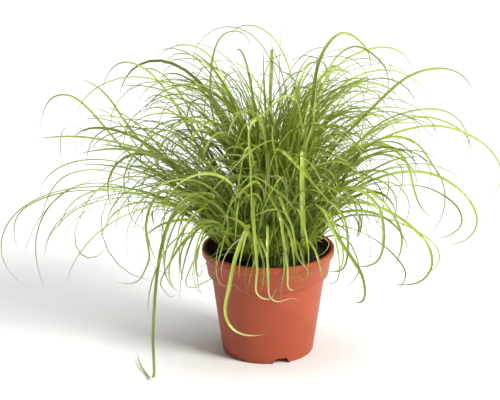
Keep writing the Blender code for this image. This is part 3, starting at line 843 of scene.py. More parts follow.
@dataclass
class PeatBed:
    """The root ball: crumbly on top, plain where the pot hides it, with loose crumbs on its surface.

    lump_sizes has the share of the lumps' height, the pitch and the seed of each size of lump. The sizes of
    crumbs and fibres are ranges in millimetres, and crumb_tilt is in radians.
    """

    top: float = 92.0 * MM
    radius: float = 55.0 * MM
    edge_fall: float = 0.5 * MM
    lumps: float = 2.6 * MM
    lump_sizes: tuple[tuple[float, float, int], ...] = (
        (0.55, 7 * MM, 3), (0.3, 3 * MM, 4), (0.15, 1.4 * MM, 5),
    )
    lump_level: float = 0.6
    gap: float = 0.5 * MM
    floor_gap: float = 0.3 * MM
    corner_rise: float = 0.8 * MM
    side_below: float = 4.0 * MM
    rings: int = 56
    segments: int = 150
    smooth: float = 60.0
    crumbs: int = 900
    crumb_seed: int = 21
    crumb_circle: float = 54.0 * MM
    crumb_rise: float = 0.1 * MM
    crumb_size: tuple[float, float] = (0.35, 1.3)
    crumb_dents: tuple[float, float] = (0.6, 1.2)
    crumb_tilt: float = 0.25
    crumb_smooth: float = 20.0
    fibre_share: float = 0.22
    fibre_width: tuple[float, float] = (0.12, 0.2)
    fibre_length: tuple[float, float] = (1.6, 4.2)
    pot: NurseryPot = field(default_factory=NurseryPot)

    def surface(self, points: np.ndarray) -> np.ndarray:
        """Height of the peat's surface: three sizes of lump on a level that falls a little to the wall.

        z = top + lumps * (sum of share * n(pitch, seed) - lump_level) - edge_fall * (r / radius)^4,
        where n is lattice noise from 0 to 1.

        Args:
            points: Rows that start with x and y.

        Returns:
            A height for each.
        """
        noise = sum(share * lattice_noise(points, pitch, seed) for share, pitch, seed in self.lump_sizes)
        edge = (np.hypot(points[..., 0], points[..., 1]) / self.radius) ** 4
        return self.top + self.lumps * (noise - self.lump_level) - self.edge_fall * edge

    def build(self, finish: bpy.types.Material) -> bpy.types.Object:
        """Builds the root ball.

        Args:
            finish: The peat's material.

        Returns:
            The piece that stands for the packed soil.
        """
        pot, inside = self.pot, self.pot.wall + self.gap
        underside = pot.wall + self.floor_gap
        floor_top = pot.channel_height + underside
        side = np.array([
            (pot.pad_radius - pot.wall, underside),
            (pot.pad_radius + pot.pad_slope - pot.wall, floor_top),
            (pot.outer_radius(floor_top) - inside, floor_top),
            (pot.outer_radius(pot.step_bottom) - inside, pot.step_bottom + self.corner_rise),
            (pot.collar_bottom[0] - inside, pot.collar_bottom[1] + self.corner_rise),
            (self.radius, self.top - self.side_below),
        ])
        angle = np.linspace(0.0, 2.0 * np.pi, self.segments, endpoint=False)
        flat = polar(self.radius * np.linspace(1.0, 0.0, self.rings, endpoint=False)[:, None], angle, 0.0)
        flat[..., 2] = self.surface(flat)
        grid = np.concatenate([polar(side[:, :1], angle, side[:, 1:]), flat]).reshape(-1, 3)
        shell = turned_shell(grid, self.segments, underside, float(self.surface(np.zeros(3))))
        piece = new_piece("peat", *shell, finish, Slot.SOIL, self.smooth)
        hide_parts("soil")
        return piece

    def scatter(self, finish: bpy.types.Material) -> bpy.types.Object:
        """Loose crumbs and fibres on the surface, each an octahedron half sunk into it.

        A crumb's six corners are s_i d_i e_i, with its three sizes s and a random dent d for each corner.
        It is then turned by a tilt about y and by a yaw about z.

        Args:
            finish: The peat's material.

        Returns:
            The piece.
        """
        rng = np.random.default_rng(self.crumb_seed)
        n = self.crumbs
        shape = np.array([(1, 0, 0), (-1, 0, 0), (0, 1, 0), (0, -1, 0), (0, 0, 1), (0, 0, -1)], float)
        upper = [(0, 2, 4), (2, 1, 4), (1, 3, 4), (3, 0, 4)]
        faces = np.array([*upper, (2, 0, 5), (1, 2, 5), (3, 1, 5), (0, 3, 5)])
        out, bearing = self.crumb_circle * np.sqrt(rng.random(n)), rng.uniform(0.0, 2.0 * np.pi, n)
        place = polar(out, bearing, 0.0)
        place[:, 2] = self.surface(place) + self.crumb_rise
        size = rng.uniform(*self.crumb_size, (n, 1)) * MM * np.ones(3)
        fibres = rng.random(n) < self.fibre_share
        size[fibres] = rng.uniform(*self.fibre_width, (fibres.sum(), 1)) * MM
        size[fibres, 0] = rng.uniform(*self.fibre_length, fibres.sum()) * MM
        local = shape[None] * size[:, None] * rng.uniform(*self.crumb_dents, (n, 6, 1))
        yaw, tilt = rng.uniform(0.0, 2.0 * np.pi, (n, 1)), rng.normal(0.0, self.crumb_tilt, (n, 1))
        x, y, z = np.moveaxis(local, -1, 0)
        x, z = turned(x, z, tilt)
        x, y = turned(x, y, yaw)
        points = place[:, None] + np.stack([x, y, z], axis=-1)
        points = points[np.hypot(points[..., 0], points[..., 1]).max(axis=1) < self.radius]
        index = (faces + 6 * np.arange(len(points))[:, None, None]).reshape(-1, 3)
        return new_piece("peat_crumbs", points.reshape(-1, 3), [index], finish, Slot.SOIL, self.crumb_smooth)


# The grass


class Habit(Enum):
    """How a drawn blade grows."""

    ARCHING = "rises with its tuft and arches over"
    INNER = "steeper and shorter, and fills the crown"
    WISP = "very narrow, with a tip that curls round"
    STEM = "short and upright, at the foot of the crown"
    STRAY = "a narrow one that may fall before the pot's collar"


@dataclass(frozen=True)
class Spread:
    """How many blades of a habit a tuft has, and the ranges that they are drawn from.

    length is a range of shares of a packed blade's length. rise is the mean and spread of what a blade's
    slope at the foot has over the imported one's, and droop those of its whole bend, which grows by a power
    in the range late. turn and swerve are spreads of its bearing at the foot and by the tip, and roll is
    the spread of its turn about itself. Angles are in degrees and widths in millimetres. dry is the share
    of blades whose tips are drying.
    """

    count: int
    length: tuple[float, float]
    rise: tuple[float, float]
    droop: tuple[float, float]
    late: tuple[float, float]
    turn: float
    swerve: float
    roll: float
    width: tuple[float, float]
    dry: float


SPREADS = {
    Habit.ARCHING: Spread(
        8, (0.52, 1.06), (11.0, 8.0), (146.0, 44.0), (1.2, 2.8), 20.0, 44.0, 50.0, (1.4, 3.4), 0.0
    ),
    Habit.INNER: Spread(
        10, (0.38, 0.8), (17.0, 8.0), (130.0, 55.0), (1.6, 3.4), 38.0, 60.0, 50.0, (0.9, 2.4), 0.0
    ),
    Habit.WISP: Spread(
        9, (0.5, 1.04), (12.0, 10.0), (205.0, 60.0), (1.4, 3.2), 24.0, 60.0, 60.0, (0.8, 1.4), 0.06
    ),
    Habit.STEM: Spread(
        5, (0.22, 0.46), (22.0, 7.0), (60.0, 50.0), (1.8, 3.4), 40.0, 60.0, 50.0, (0.9, 1.9), 0.0
    ),
    Habit.STRAY: Spread(
        6, (0.42, 0.8), (2.0, 12.0), (235.0, 60.0), (0.9, 1.5), 34.0, 90.0, 70.0, (0.5, 0.9), 0.55
    ),
}


@dataclass(frozen=True)
class Stand:
    """A run of tufts from first to last, and what its drawn blades' number and length and all its blades'
    tone are times; the tone is painted light and shade.
    """

    first: int
    last: int
    blades: float
    length: float
    tone: float


# Painted light and shade in tone: the front stand, 31 to 36, is lightest to make up for the shade of the
# blades over it; the stands on the left and right, 1 to 12 and 20 to 30, are darkest
STANDS = (
    Stand(1, 12, 0.42, 1.0, 0.45), Stand(13, 19, 2.3, 1.15, 0.7), Stand(20, 22, 0.45, 0.95, 0.45),
    Stand(23, 30, 0.22, 0.9, 0.4), Stand(31, 36, 0.9, 1.05, 0.8), Stand(37, 43, 0.9, 1.0, 0.6),
)


@dataclass(frozen=True)
class Viewpoint:
    """Where the photograph was taken from: the camera's place, how far it looks down, and its lens."""

    place: tuple[float, float, float] = (-0.0164, -2.2, 0.885)
    tilt: float = 18.64
    lens: float = 185.76
    film_width: float = 36.0
    picture: tuple[int, int] = (500, 400)

    def points(self, picks: tuple[tuple[int, int, int], ...]) -> np.ndarray:
        """Points of the plant, to the whole millimetre, that show at given pixels of the photograph.

        With k the pixel's height over the picture's middle as a share of the focal length, and d the level
        distance, a point is d (k cos tilt - sin tilt) / (cos tilt + k sin tilt) over the camera. Its
        distance along the camera's axis then scales the pixel's distance from the middle sideways.

        Args:
            picks: Rows of (across, down, depth), in pixels, pixels and millimetres behind the pot's axis.

        Returns:
            Rows of (x, y, z) in metres.
        """
        across, down, depth = np.array(picks, dtype=float).T
        focal = self.lens / self.film_width * self.picture[0]
        up = (self.picture[1] / 2 - down) / focal
        fall, level = math.sin(math.radians(self.tilt)), math.cos(math.radians(self.tilt))
        away = depth * MM - self.place[1]
        height = away * (up * level - fall) / (level + up * fall)
        along = away * level - height * fall
        x = self.place[0] + (across - self.picture[0] / 2) * along / focal
        return np.round(np.stack([x, depth * MM, self.place[2] + height], axis=-1) / MM) * MM


@dataclass(frozen=True)
class Accent:
    """A blade that stands out from the rest of its tuft, as a curve through given points.

    Each point of through is (across, down, depth): the pixel of the 500 by 400 photograph where it shows,
    and how far behind the pot's axis it lies, in millimetres, which is a guess. width is in millimetres,
    tone runs from deep to light green, and dry is the dried share of the length.
    """

    tuft: int
    width: float
    tone: float
    dry: float
    through: tuple[tuple[int, int, int], ...]


ACCENTS = (
    Accent(35, 4.8, 0.95, 0.0, (
        (305, 252, -26), (304, 235, -42), (303, 205, -52), (302, 178, -56), (302, 159, -54),
        (302, 152, -50), (304, 156, -46), (307, 170, -43),
    )),
    Accent(34, 2.8, 0.75, 0.0, (
        (296, 246, -12), (303, 190, -26), (306, 149, -36), (309, 138, -38), (313, 124, -38),
        (315, 108, -36), (316, 92, -34), (313, 78, -32),
    )),
    Accent(34, 2.3, 0.7, 0.0, (
        (290, 246, -4), (298, 170, -16), (301, 125, -28), (297, 101, -36), (285, 96, -42),
        (271, 107, -48), (258, 117, -52), (246, 125, -56), (239, 139, -60), (234, 152, -62),
        (231, 168, -64),
    )),
    Accent(32, 2.3, 0.8, 0.0, (
        (264, 248, -14), (267, 190, -28), (265, 140, -40), (258, 120, -48), (251, 126, -55),
        (249, 146, -60), (250, 162, -62), (252, 192, -66), (253, 225, -70), (254, 248, -72),
    )),
    Accent(33, 1.8, 0.9, 0.0, (
        (270, 248, -16), (277, 190, -30), (276, 155, -44), (272, 135, -48), (274, 122, -48),
        (279, 112, -46), (286, 107, -44), (294, 110, -42),
    )),
    Accent(33, 1.6, 0.9, 0.15, (
        (258, 246, -16), (264, 200, -34), (271, 164, -50), (276, 152, -54), (283, 140, -54),
        (290, 132, -52), (297, 128, -50), (302, 131, -48),
    )),
    Accent(34, 1.4, 0.8, 0.0, (
        (284, 246, 0), (286, 170, -10), (290, 122, -18), (298, 111, -20), (308, 109, -22),
        (320, 109, -24), (332, 110, -26), (344, 114, -28), (353, 125, -28),
    )),
    Accent(36, 1.9, 0.85, 0.0, (
        (292, 248, -8), (300, 180, -24), (306, 135, -34), (312, 123, -38), (322, 128, -42),
        (332, 137, -44), (341, 146, -46), (348, 158, -48), (351, 172, -50),
    )),
    Accent(36, 2.2, 0.8, 0.0, (
        (294, 250, -18), (300, 205, -34), (306, 172, -44), (320, 164, -48), (336, 162, -52),
        (350, 167, -54), (361, 178, -56),
    )),
    Accent(32, 1.3, 1.0, 0.0, (
        (244, 248, -18), (246, 205, -38), (254, 176, -54), (265, 183, -60), (280, 194, -64),
        (292, 206, -66), (300, 222, -68),
    )),
    Accent(34, 1.6, 0.9, 0.15, (
        (286, 248, -20), (288, 205, -38), (283, 177, -50), (278, 181, -56), (268, 200, -62),
        (262, 214, -64), (259, 230, -66),
    )),
    Accent(31, 1.9, 0.85, 0.0, (
        (268, 248, -18), (266, 205, -38), (260, 184, -50), (253, 182, -56), (240, 193, -60),
        (231, 204, -62), (224, 222, -64), (221, 240, -62),
    )),
    Accent(31, 2.0, 1.0, 0.0, (
        (262, 246, -14), (257, 185, -32), (251, 150, -46), (247, 148, -52), (243, 161, -56),
        (240, 177, -58), (236, 200, -62), (234, 224, -64),
    )),
    Accent(32, 2.6, 0.4, 0.0, (
        (262, 254, -30), (256, 235, -46), (257, 240, -56), (262, 254, -66), (264, 269, -70),
        (263, 286, -70), (259, 296, -70),
    )),
    Accent(33, 1.9, 0.5, 0.42, (
        (264, 254, -34), (260, 238, -48), (263, 246, -58), (267, 259, -66), (269, 274, -70),
        (269, 286, -70), (270, 296, -70), (276, 301, -70), (285, 300, -70), (292, 298, -70),
        (300, 302, -69),
    )),
    Accent(34, 3.8, 0.0, 0.0, (
        (289, 254, -34), (286, 238, -48), (286, 247, -57), (285, 259, -65), (284, 273, -69),
        (282, 285, -70),
    )),
    Accent(34, 3.2, 0.7, 0.0, (
        (270, 248, -18), (273, 207, -36), (279, 196, -46), (285, 210, -54), (291, 225, -60),
        (295, 240, -63), (298, 259, -67),
    )),
    Accent(35, 1.5, 0.4, 0.0, (
        (292, 254, -34), (293, 242, -48), (296, 252, -60), (302, 263, -66), (308, 273, -67),
        (305, 280, -67), (299, 277, -67), (295, 268, -67),
    )),
    Accent(31, 2.3, 0.9, 0.0, (
        (262, 248, -20), (253, 207, -38), (244, 192, -48), (239, 200, -54), (237, 220, -60),
        (236, 234, -62), (235, 248, -63),
    )),
    Accent(31, 1.7, 0.3, 0.0, (
        (244, 248, -20), (234, 228, -38), (227, 232, -50), (222, 246, -57), (220, 256, -60),
        (217, 266, -59), (213, 276, -57), (203, 283, -53), (190, 287, -49),
    )),
    Accent(31, 0.8, 1.0, 0.6, (
        (232, 254, -26), (222, 242, -42), (217, 256, -54), (216, 268, -58), (218, 279, -59),
        (225, 286, -61), (233, 285, -64), (241, 290, -66), (248, 293, -67),
    )),
    Accent(36, 2.0, 0.5, 0.0, (
        (306, 252, -20), (318, 220, -36), (328, 211, -42), (332, 220, -46), (338, 249, -50),
        (340, 268, -52), (337, 280, -52), (331, 284, -52), (324, 283, -52),
    )),
    Accent(36, 1.0, 1.0, 0.5, (
        (300, 252, -22), (309, 238, -28), (321, 237, -30), (329, 243, -31), (323, 253, -36),
        (312, 257, -40),
    )),
    Accent(31, 1.5, 0.3, 0.0, (
        (236, 248, -14), (222, 224, -28), (210, 223, -36), (200, 245, -42), (196, 268, -46),
        (200, 290, -48), (205, 298, -48),
    )),
    Accent(32, 1.0, 1.0, 0.4, (
        (244, 254, -32), (250, 241, -46), (261, 236, -54), (272, 232, -58),
    )),
    Accent(35, 1.3, 0.4, 0.0, (
        (298, 254, -32), (297, 242, -46), (300, 250, -57), (304, 263, -61), (311, 275, -61),
        (317, 278, -59),
    )),
    Accent(11, 2.0, 0.15, 0.0, (
        (236, 252, -16), (219, 228, -30), (204, 222, -38), (191, 232, -43), (179, 247, -46),
        (172, 259, -47), (165, 272, -48), (161, 284, -48), (165, 292, -48), (171, 297, -48),
        (178, 293, -48),
    )),
    Accent(11, 2.2, 0.2, 0.0, (
        (240, 252, -20), (224, 228, -36), (209, 222, -44), (195, 232, -48), (185, 243, -50),
        (181, 257, -50), (181, 268, -50), (183, 279, -49), (186, 284, -48),
    )),
    Accent(12, 1.7, 0.55, 0.0, (
        (244, 252, -22), (226, 232, -38), (215, 227, -46), (205, 236, -50), (198, 247, -52),
        (193, 262, -52), (186, 278, -52), (187, 286, -51), (197, 287, -50), (209, 279, -48),
    )),
    Accent(12, 1.5, 0.3, 0.0, (
        (240, 254, -24), (220, 236, -38), (209, 234, -44), (199, 247, -48), (195, 262, -49),
        (197, 274, -49), (200, 276, -49), (202, 267, -48), (201, 257, -46),
    )),
    Accent(9, 2.6, 0.35, 0.0, (
        (240, 250, -10), (205, 212, -20), (178, 194, -26), (163, 191, -30), (153, 200, -34),
        (147, 218, -36), (147, 240, -38), (149, 256, -38), (146, 268, -38), (140, 279, -38),
        (130, 284, -36), (115, 282, -34),
    )),
    Accent(8, 2.0, 0.4, 0.0, (
        (244, 248, -6), (208, 180, -18), (185, 146, -24), (168, 130, -28), (147, 140, -30),
        (129, 162, -32), (124, 180, -32), (126, 195, -30), (131, 205, -28), (137, 210, -26),
        (139, 206, -24),
    )),
    Accent(29, 2.2, 0.25, 0.0, (
        (290, 250, -18), (320, 214, -30), (338, 200, -36), (350, 197, -38), (359, 204, -40),
        (362, 219, -40), (359, 232, -38),
    )),
    Accent(28, 1.3, 0.1, 0.0, (
        (286, 250, -12), (330, 186, -24), (366, 158, -30), (388, 156, -32), (401, 168, -34),
        (402, 184, -34), (397, 198, -32), (388, 212, -30),
    )),
    Accent(28, 1.2, 0.1, 0.0, (
        (288, 250, -14), (332, 208, -28), (370, 184, -34), (394, 184, -36), (407, 198, -36),
        (408, 214, -36), (401, 227, -34), (391, 235, -32), (384, 238, -30),
    )),
    Accent(26, 1.4, 0.2, 0.0, (
        (286, 248, -8), (340, 176, -18), (385, 150, -22), (412, 152, -24), (429, 166, -24),
        (431, 179, -24), (426, 189, -22), (418, 195, -20),
    )),
    Accent(24, 1.3, 0.5, 0.0, (
        (286, 248, -4), (338, 162, -12), (385, 124, -14), (412, 116, -16), (430, 121, -16),
        (435, 129, -16), (430, 137, -14), (421, 143, -12),
    )),
    Accent(30, 1.6, 0.2, 0.0, (
        (300, 252, -24), (330, 236, -38), (346, 240, -42), (356, 256, -44), (358, 272, -44),
        (350, 284, -42), (340, 288, -40),
    )),
)


@dataclass
class Blades:
    """Several blades as arrays: paths and across vectors (blade, step, xyz), and numbers for each blade.

    tone runs from deep (0) to light green (1), dry is the dried share of the length at the tip, and taper
    is the power by which a blade narrows to its tip: the higher, the later.
    """

    paths: np.ndarray
    across: np.ndarray
    width: np.ndarray
    tone: np.ndarray
    dry: np.ndarray
    taper: np.ndarray

    def chosen(self, index: np.ndarray) -> "Blades":
        """The blades at an index or mask."""
        return Blades(*(getattr(self, name)[index] for name in Blades.__dataclass_fields__))

    @staticmethod
    def joined(parts: list["Blades"]) -> "Blades":
        """Several sets of blades as one."""
        names = Blades.__dataclass_fields__
        return Blades(*(np.concatenate([getattr(part, name) for part in parts]) for name in names))


def natural_spline(knots: np.ndarray, samples: np.ndarray) -> np.ndarray:
    """Weights that turn values at knots into values at samples along a natural cubic spline.

    Between knots i and i + 1, h apart, with s the share of the way, the curve is
    (1-s) y_i + s y_(i+1) - h^2/6 * (s(1-s)) * ((2-s) m_i + (1+s) m_(i+1)), where the second derivatives
    m solve the usual tridiagonal system and are 0 at both ends.

    Args:
        knots: Increasing parameters of the known values.
        samples: Parameters of the wanted values.

    Returns:
        An array of shape (samples, knots).
    """
    count, gap = len(knots), np.diff(knots)
    system, right = np.eye(count), np.zeros((count, count))
    inner = np.arange(1, count - 1)
    system[inner, inner - 1], system[inner, inner + 1] = gap[:-1], gap[1:]
    system[inner, inner] = 2.0 * (gap[:-1] + gap[1:])
    right[inner, inner - 1], right[inner, inner + 1] = 6.0 / gap[:-1], 6.0 / gap[1:]
    right[inner, inner] = -6.0 / gap[:-1] - 6.0 / gap[1:]
    bend = np.linalg.solve(system, right)
    i = np.clip(np.searchsorted(knots, samples, side="right") - 1, 0, count - 2)
    h, s = gap[i][:, None], ((samples - knots[i]) / gap[i])[:, None]
    near, far = np.eye(count)[i], np.eye(count)[i + 1]
    return (1 - s) * near + s * far - h**2 / 6 * s * (1 - s) * ((2 - s) * bend[i] + (1 + s) * bend[i + 1])


def bearings(paths: np.ndarray, share: float = 0.6) -> np.ndarray:
    """The way each path goes, seen from above, in radians: from its foot to a share of its steps."""
    reach = paths[:, int(share * paths.shape[1])] - paths[:, 0]
    return np.arctan2(reach[:, 1], reach[:, 0])


def rolled(side: np.ndarray, along: np.ndarray, angle: np.ndarray) -> np.ndarray:
    """Across vectors turned about the paths' directions by angles in radians."""
    angle = angle[..., None]
    return side * np.cos(angle) + np.cross(along, side) * np.sin(angle)


@dataclass(frozen=True)
class Ribbon:
    """How blades become closed ribbons of three sides: left edge to keel, keel to right edge, and back."""

    bend_weight: float = 1.5
    least_bend: float = 0.5
    foot_width: float = 0.55
    full_width_from: float = 0.2
    point_power: float = 0.8
    keel_at: tuple[float, ...] = (0.0, 0.12, 0.4)
    keel_depth: tuple[float, ...] = (0.9, 0.5, 0.3)
    least_keel: float = 0.12 * MM
    drying_over: float = 0.25
    strip_margin: float = 0.1
    base_across: tuple[float, float, float] = (0.5, 0.7, 0.5)
    base_up: float = 0.004

    def spaced(self, blades: Blades, count: int) -> tuple[np.ndarray, np.ndarray, np.ndarray]:
        """Sections of each blade, closer together where its path bends.

        They lie evenly in L + bend_weight * B, where L is the share of the length so far and B that of
        the bend, for a blade that bends by at least least_bend radians in all.

        Args:
            blades: The blades.
            count: Number of sections below the tip.

        Returns:
            Points and across vectors (blade, section, xyz) with the tip as the last section, and each
            one's share of the blade's length.
        """
        steps = np.diff(blades.paths, axis=1)
        length = np.linalg.norm(steps, axis=-1)
        bend = np.linalg.norm(np.diff(unit(steps), axis=1), axis=-1)
        whole = np.maximum(bend.sum(axis=1, keepdims=True), self.least_bend)
        weight = length / length.sum(axis=1, keepdims=True)
        weight[:, 1:] += self.bend_weight * bend / whole
        run, spans = running(weight), running(length)
        wanted = run[:, -1:] * np.linspace(0.0, 1.0, count + 1)[None]
        low = np.clip((run[:, None] <= wanted[..., None]).sum(axis=-1) - 1, 0, length.shape[1] - 1)
        rows = np.arange(len(low))[:, None]
        share = ((wanted - run[rows, low]) / (run[rows, low + 1] - run[rows, low]))[..., None]
        at, side, t = (
            values[rows, low] * (1 - share) + values[rows, low + 1] * share
            for values in (blades.paths, blades.across, (spans / spans[:, -1:])[..., None])
        )
        return at, side, t[..., 0]

    def corners(self, blades: Blades, at: np.ndarray, side: np.ndarray, t: np.ndarray) -> np.ndarray:
        """Points of the ribbons.

        At the share t of the length the left edge is p - a h, the keel p - u k and the right edge p + a h,
        where p is the path, a the across vector, u the upper side, h half the width and k the keel's
        depth. The width is w (f + (1 - f) min(t / full_width_from, 1)) (1 - t^taper)^point_power, where f
        is foot_width.

        Args:
            blades: The blades.
            at: Points of the path at the sections and the tip.
            side: Across vectors there.
            t: Shares of the length there.

        Returns:
            For each blade the three points of each section, and its tip.
        """
        along = unit(np.gradient(at, axis=1))
        side = unit(side - along * np.sum(side * along, axis=-1, keepdims=True))
        full = self.foot_width + (1.0 - self.foot_width) * np.clip(t / self.full_width_from, 0, 1)
        point = (1 - np.clip(t, 0, 1) ** blades.taper[:, None]) ** self.point_power
        half = blades.width[:, None] / 2 * full * point
        keel = np.maximum(half * np.interp(t, self.keel_at, self.keel_depth), self.least_keel)
        edge, down = side * half[..., None], np.cross(along, side) * keel[..., None]
        rings = np.stack([at - edge, at - down, at + edge], axis=2)[:, :-1]
        return np.concatenate([rings.reshape(len(at), -1, 3), at[:, -1:]], axis=1)

    @staticmethod
    def faces(blades: int, count: int) -> list[np.ndarray]:
        """Faces of the ribbons.

        Args:
            blades: Number of blades.
            count: Number of sections below the tip.

        Returns:
            Quads between sections, three triangles at each tip and one at each root.
        """
        side, section = np.arange(3), 3 * np.arange(count - 1)[:, None]
        on, last = (side + 1) % 3, 3 * (count - 1)
        quads = np.stack([section + side, section + on, section + 3 + on, section + 3 + side], axis=-1)
        tips = np.stack([last + side, last + on, np.full(3, 3 * count)], axis=1)
        first = (3 * count + 1) * np.arange(blades)[:, None, None]
        parts = (quads.reshape(-1, 4), tips, np.array([[2, 1, 0]]))
        return [(first + part).reshape(-1, part.shape[1]) for part in parts]

    def lay_out(self, t: np.ndarray) -> np.ndarray:
        """The map of the ribbons: each side of each blade is an upright strip, with t as its height.

        Args:
            t: Shares of the length at each blade's sections and tip.

        Returns:
            A place on the map for each corner of each face, in the order of the faces.
        """
        strip = 3 * np.arange(len(t))[:, None] + np.arange(3)
        left, right = self.strip_margin, 1.0 - self.strip_margin
        low, high, end = t[:, :-2], t[:, 1:-1], t[:, -2]
        one, zero = np.ones(len(t)), np.zeros(len(t))
        around = np.stack([low, low, high, high], -1)[:, :, None]
        parts = (
            (strip[:, None, :], (left, right, right, left), around),
            (strip, (left, right, 0.5), np.stack([end, end, one], -1)[:, None]),
            (strip[:, 1], self.base_across, np.stack([zero, zero, one * self.base_up], -1)),
        )
        made = []
        for strips, across, up in parts:
            u = (strips[..., None] + np.array(across)) / (3 * len(t))
            made.append(np.stack(np.broadcast_arrays(u, up), axis=-1).reshape(-1, 2))
        return np.concatenate(made)

    def shape(self, blades: Blades, count: int) -> tuple[np.ndarray, list[np.ndarray], dict, np.ndarray]:
        """The ribbons of a set of blades.

        Args:
            blades: The blades.
            count: Number of sections below the tip.

        Returns:
            The points, the faces, the points' numbers for tone, along, across and dry, and the map.
        """
        at, side, t = self.spaced(blades, count)
        along = np.concatenate([np.repeat(t[:, :-1], 3, axis=1), t[:, -1:]], axis=1)
        dried = (along - 1.0 + blades.dry[:, None]) / self.drying_over
        numbers = {
            "tone": np.repeat(blades.tone, 3 * count + 1),
            "along": along.ravel(),
            "across": np.tile([*[-1.0, 0.0, 1.0] * count, 0.0], len(t)),
            "dry": np.clip(dried, 0.0, 1.0).ravel(),
        }
        points = self.corners(blades, at, side, t).reshape(-1, 3)
        return points, self.faces(len(t), count), numbers, self.lay_out(t)


